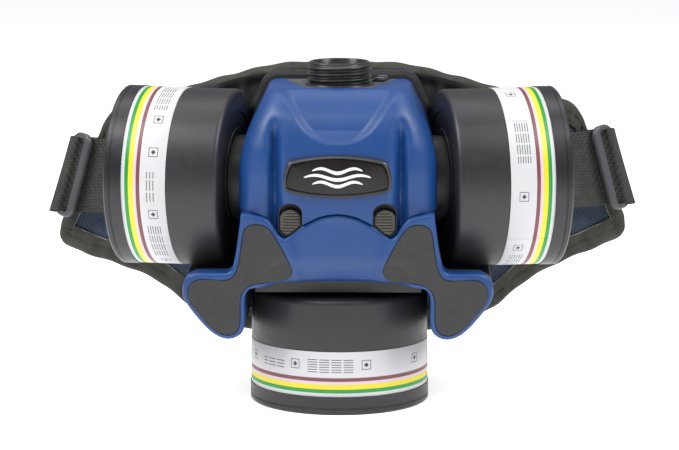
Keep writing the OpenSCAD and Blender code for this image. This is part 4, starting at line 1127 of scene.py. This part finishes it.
def piping(name, side, inset=14.2):
    """A thin tube round the binding's inner seam, on the pad's front and back faces."""
    line, inward, run = edge_line(side, 420)
    around, radius = 8, 0.42
    points, faces = [], []
    for face_t in (0.15, pad_t - 0.15):
        start = len(points) * len(run) * around
        rows = []
        for a in np.linspace(0, 2 * np.pi, around, endpoint=False):
            spot = line + inward * (inset + radius * math.cos(a))
            t = face_t + radius * math.sin(a) + 0.12 * np.sin(run * 0.4)
            rows.append(on_belt(spot[:, 0], spot[:, 1], t))
        points.append(np.stack(rows, 1).reshape(-1, 3))
        ends = [list(range(around))[::-1], [(len(run) - 1) * around + i for i in range(around)]]
        faces += [[start + i for i in f] for f in grid_faces(len(run), around, False, True) + ends]
    piece = finish_mesh(name, np.vstack(points), faces, 80)
    tidy_mesh(piece, 80)
    return piece


tape_olive = moulded("tape_olive", (0.030, 0.032, 0.024), 0.80, grain=2600, bump=0.45, mottle=0.22)
# The piping is a real cord, but its light grey, far lighter than the tape, is a painted highlight along the
# seam.
piping_highlight_grey = moulded("piping_highlight_grey", (0.13, 0.135, 0.12), 0.65, grain=2200, bump=0.2)
for side, word in both_sides:
    tape = binding(f"{word}_belt_binding", side)
    dress(tape, tape_olive, None)
    hinge_blend(tape)
    cord = piping(f"{word}_belt_piping", side)
    dress(cord, piping_highlight_grey, None)
    hinge_blend(cord)


# ---- Webbing --------------------------------------------------------------
# Flat polyester webbing, 48 mm wide, threaded from the wing plate round the
# buckle's outer bar and back on itself.
buckle_s, buckle_z, buckle_t = 175.0, axis_z - 13, -13.45
strap_w = 48.0


def strap(name, side, path, thick=1.5):
    """A flat strap: path rows are (s, t), evened out and rounded; the width tips with the buckle."""
    path = np.asarray(path, float)
    run = np.concatenate([[0], np.cumsum(np.linalg.norm(np.diff(path, axis=0), axis=1))])
    even = np.linspace(0, run[-1], 170)
    s, t = (np.interp(even, run, path[:, k]) for k in (0, 1))
    for _ in range(3):
        s[1:-1] = 0.25 * s[:-2] + 0.5 * s[1:-1] + 0.25 * s[2:]
        t[1:-1] = 0.25 * t[:-2] + 0.5 * t[1:-1] + 0.25 * t[2:]
    across = np.linspace(-0.5, 0.5, 21)
    middle = buckle_z + 4 * ease((165 - s) / 35) + rise(side, s)
    tip = ease((s - 135) / 35)[:, None] * across[None, :] * strap_w * -0.123
    h = middle[:, None] + across[None, :] * strap_w
    sag = 0.5 * np.sin(across * 9)[None, :] * ease((172 - s) / 20)[:, None]
    points = on_belt(side * (s[:, None] + tip), h, t[:, None] + sag)
    uv = np.stack([np.broadcast_to(even[:, None], h.shape), np.broadcast_to(across * strap_w, h.shape)], -1)
    piece = finish_mesh(name, points.reshape(-1, 3), grid_faces(*h.shape), 60, uv.reshape(-1, 2) * MM)
    settle(piece, ("SOLIDIFY", {"thickness": thick * MM, "offset": 0.0}))
    tidy_mesh(piece, 60)
    return piece


webbing_black = moulded("webbing_black", (0.023, 0.023, 0.021), 0.75, grain=1800, bump=0.2, mottle=0.2)
twill = crossed_waves(webbing_black, [(0, "DIAGONAL", 150.0), (0, "Y", 160.0)], 0.8, "ADD")
set_bump(webbing_black, twill, 0.7, 0.0006)
out_bar = buckle_s + 6.5
strap_run = [
    [130, -4.4], [135, -4.7], [150, -4.8], [158, -4.9], [167, -6.0], [173, -8.0], [178, -10.1],
    [out_bar + 1.6, -10.5], [out_bar + 3.1, -11.2], [out_bar + 3.7, -13.4], [out_bar + 3.1, -15.7],
    [out_bar + 1.6, -16.4], [out_bar - 1.6, -16.4], [out_bar - 3.1, -15.7], [out_bar - 3.7, -13.6],
    [out_bar - 4.2, -12.7], [174, -9.8], [167, -7.9], [158, -6.7], [150, -6.6], [141, -6.5]]
for side, word in both_sides:
    band = strap(f"{word}_webbing", side, strap_run)
    dress(band, webbing_black, f"belt_wing_{word}", [f"webbing_{word}"])


# ---- Buckles --------------------------------------------------------------
# Loop buckles moulded in dark grey acetal: a rounded frame whose outer bar
# sits in the strap's fold and whose broad inner bar stands clear of it.
def rounded_box(width, height, radius, shift=0.0):
    """A rectangle about the origin with round corners, as an (x, z) outline."""
    w, h = width / 2 - radius, height / 2 - radius
    corners = [arc((cx * w, cz * h), radius, start, start + 90, 8)
               for cx, cz, start in ((1, 1, 0), (-1, 1, 90), (-1, -1, 180), (1, -1, 270))]
    return np.vstack(corners) + [shift, 0]


def loop_buckle(name, side):
    """A rounded frame with one slot, turned to the wing's bend and lean and tipped 7 degrees."""
    section = [(1.3, -1.9), (0.5, -1.55), (0.08, -0.9), (0, 0), (0.08, 0.9), (0.5, 1.55), (1.3, 1.9)]
    ring = ring_loft(name, rounded_box(17.6, 55.6, 7.0), section, 50)
    slot = prism("slot_cut", rounded_box(7.6, 48.8, 2.2, side * 0.2), -4, 4)
    cut_away(ring, [slot])
    bend = (buckle_s - belt_flat) / belt_r
    tilt = lean_max * float(ease((buckle_s - wing_start - 5) / 95))
    spot = on_belt(np.array([side * buckle_s]), np.array([buckle_z + float(rise(side, buckle_s))]),
                   np.array([buckle_t]))[0]
    place = (Matrix.Translation(Vector(spot) * MM) @ Matrix.Rotation(side * bend, 4, "Z")
             @ Matrix.Rotation(-tilt, 4, "X") @ Matrix.Rotation(-side * math.radians(7), 4, "Y"))
    ring.data.transform(place)
    return ring


buckle_grey = moulded("buckle_grey", (0.058, 0.060, 0.066), 0.38, grain=1500, bump=0.10)
for side, word in both_sides:
    ring = loop_buckle(f"{word}_loop_buckle", side)
    dress(ring, buckle_grey, f"strap_buckle_{word}", [f"buckle_{word}"])
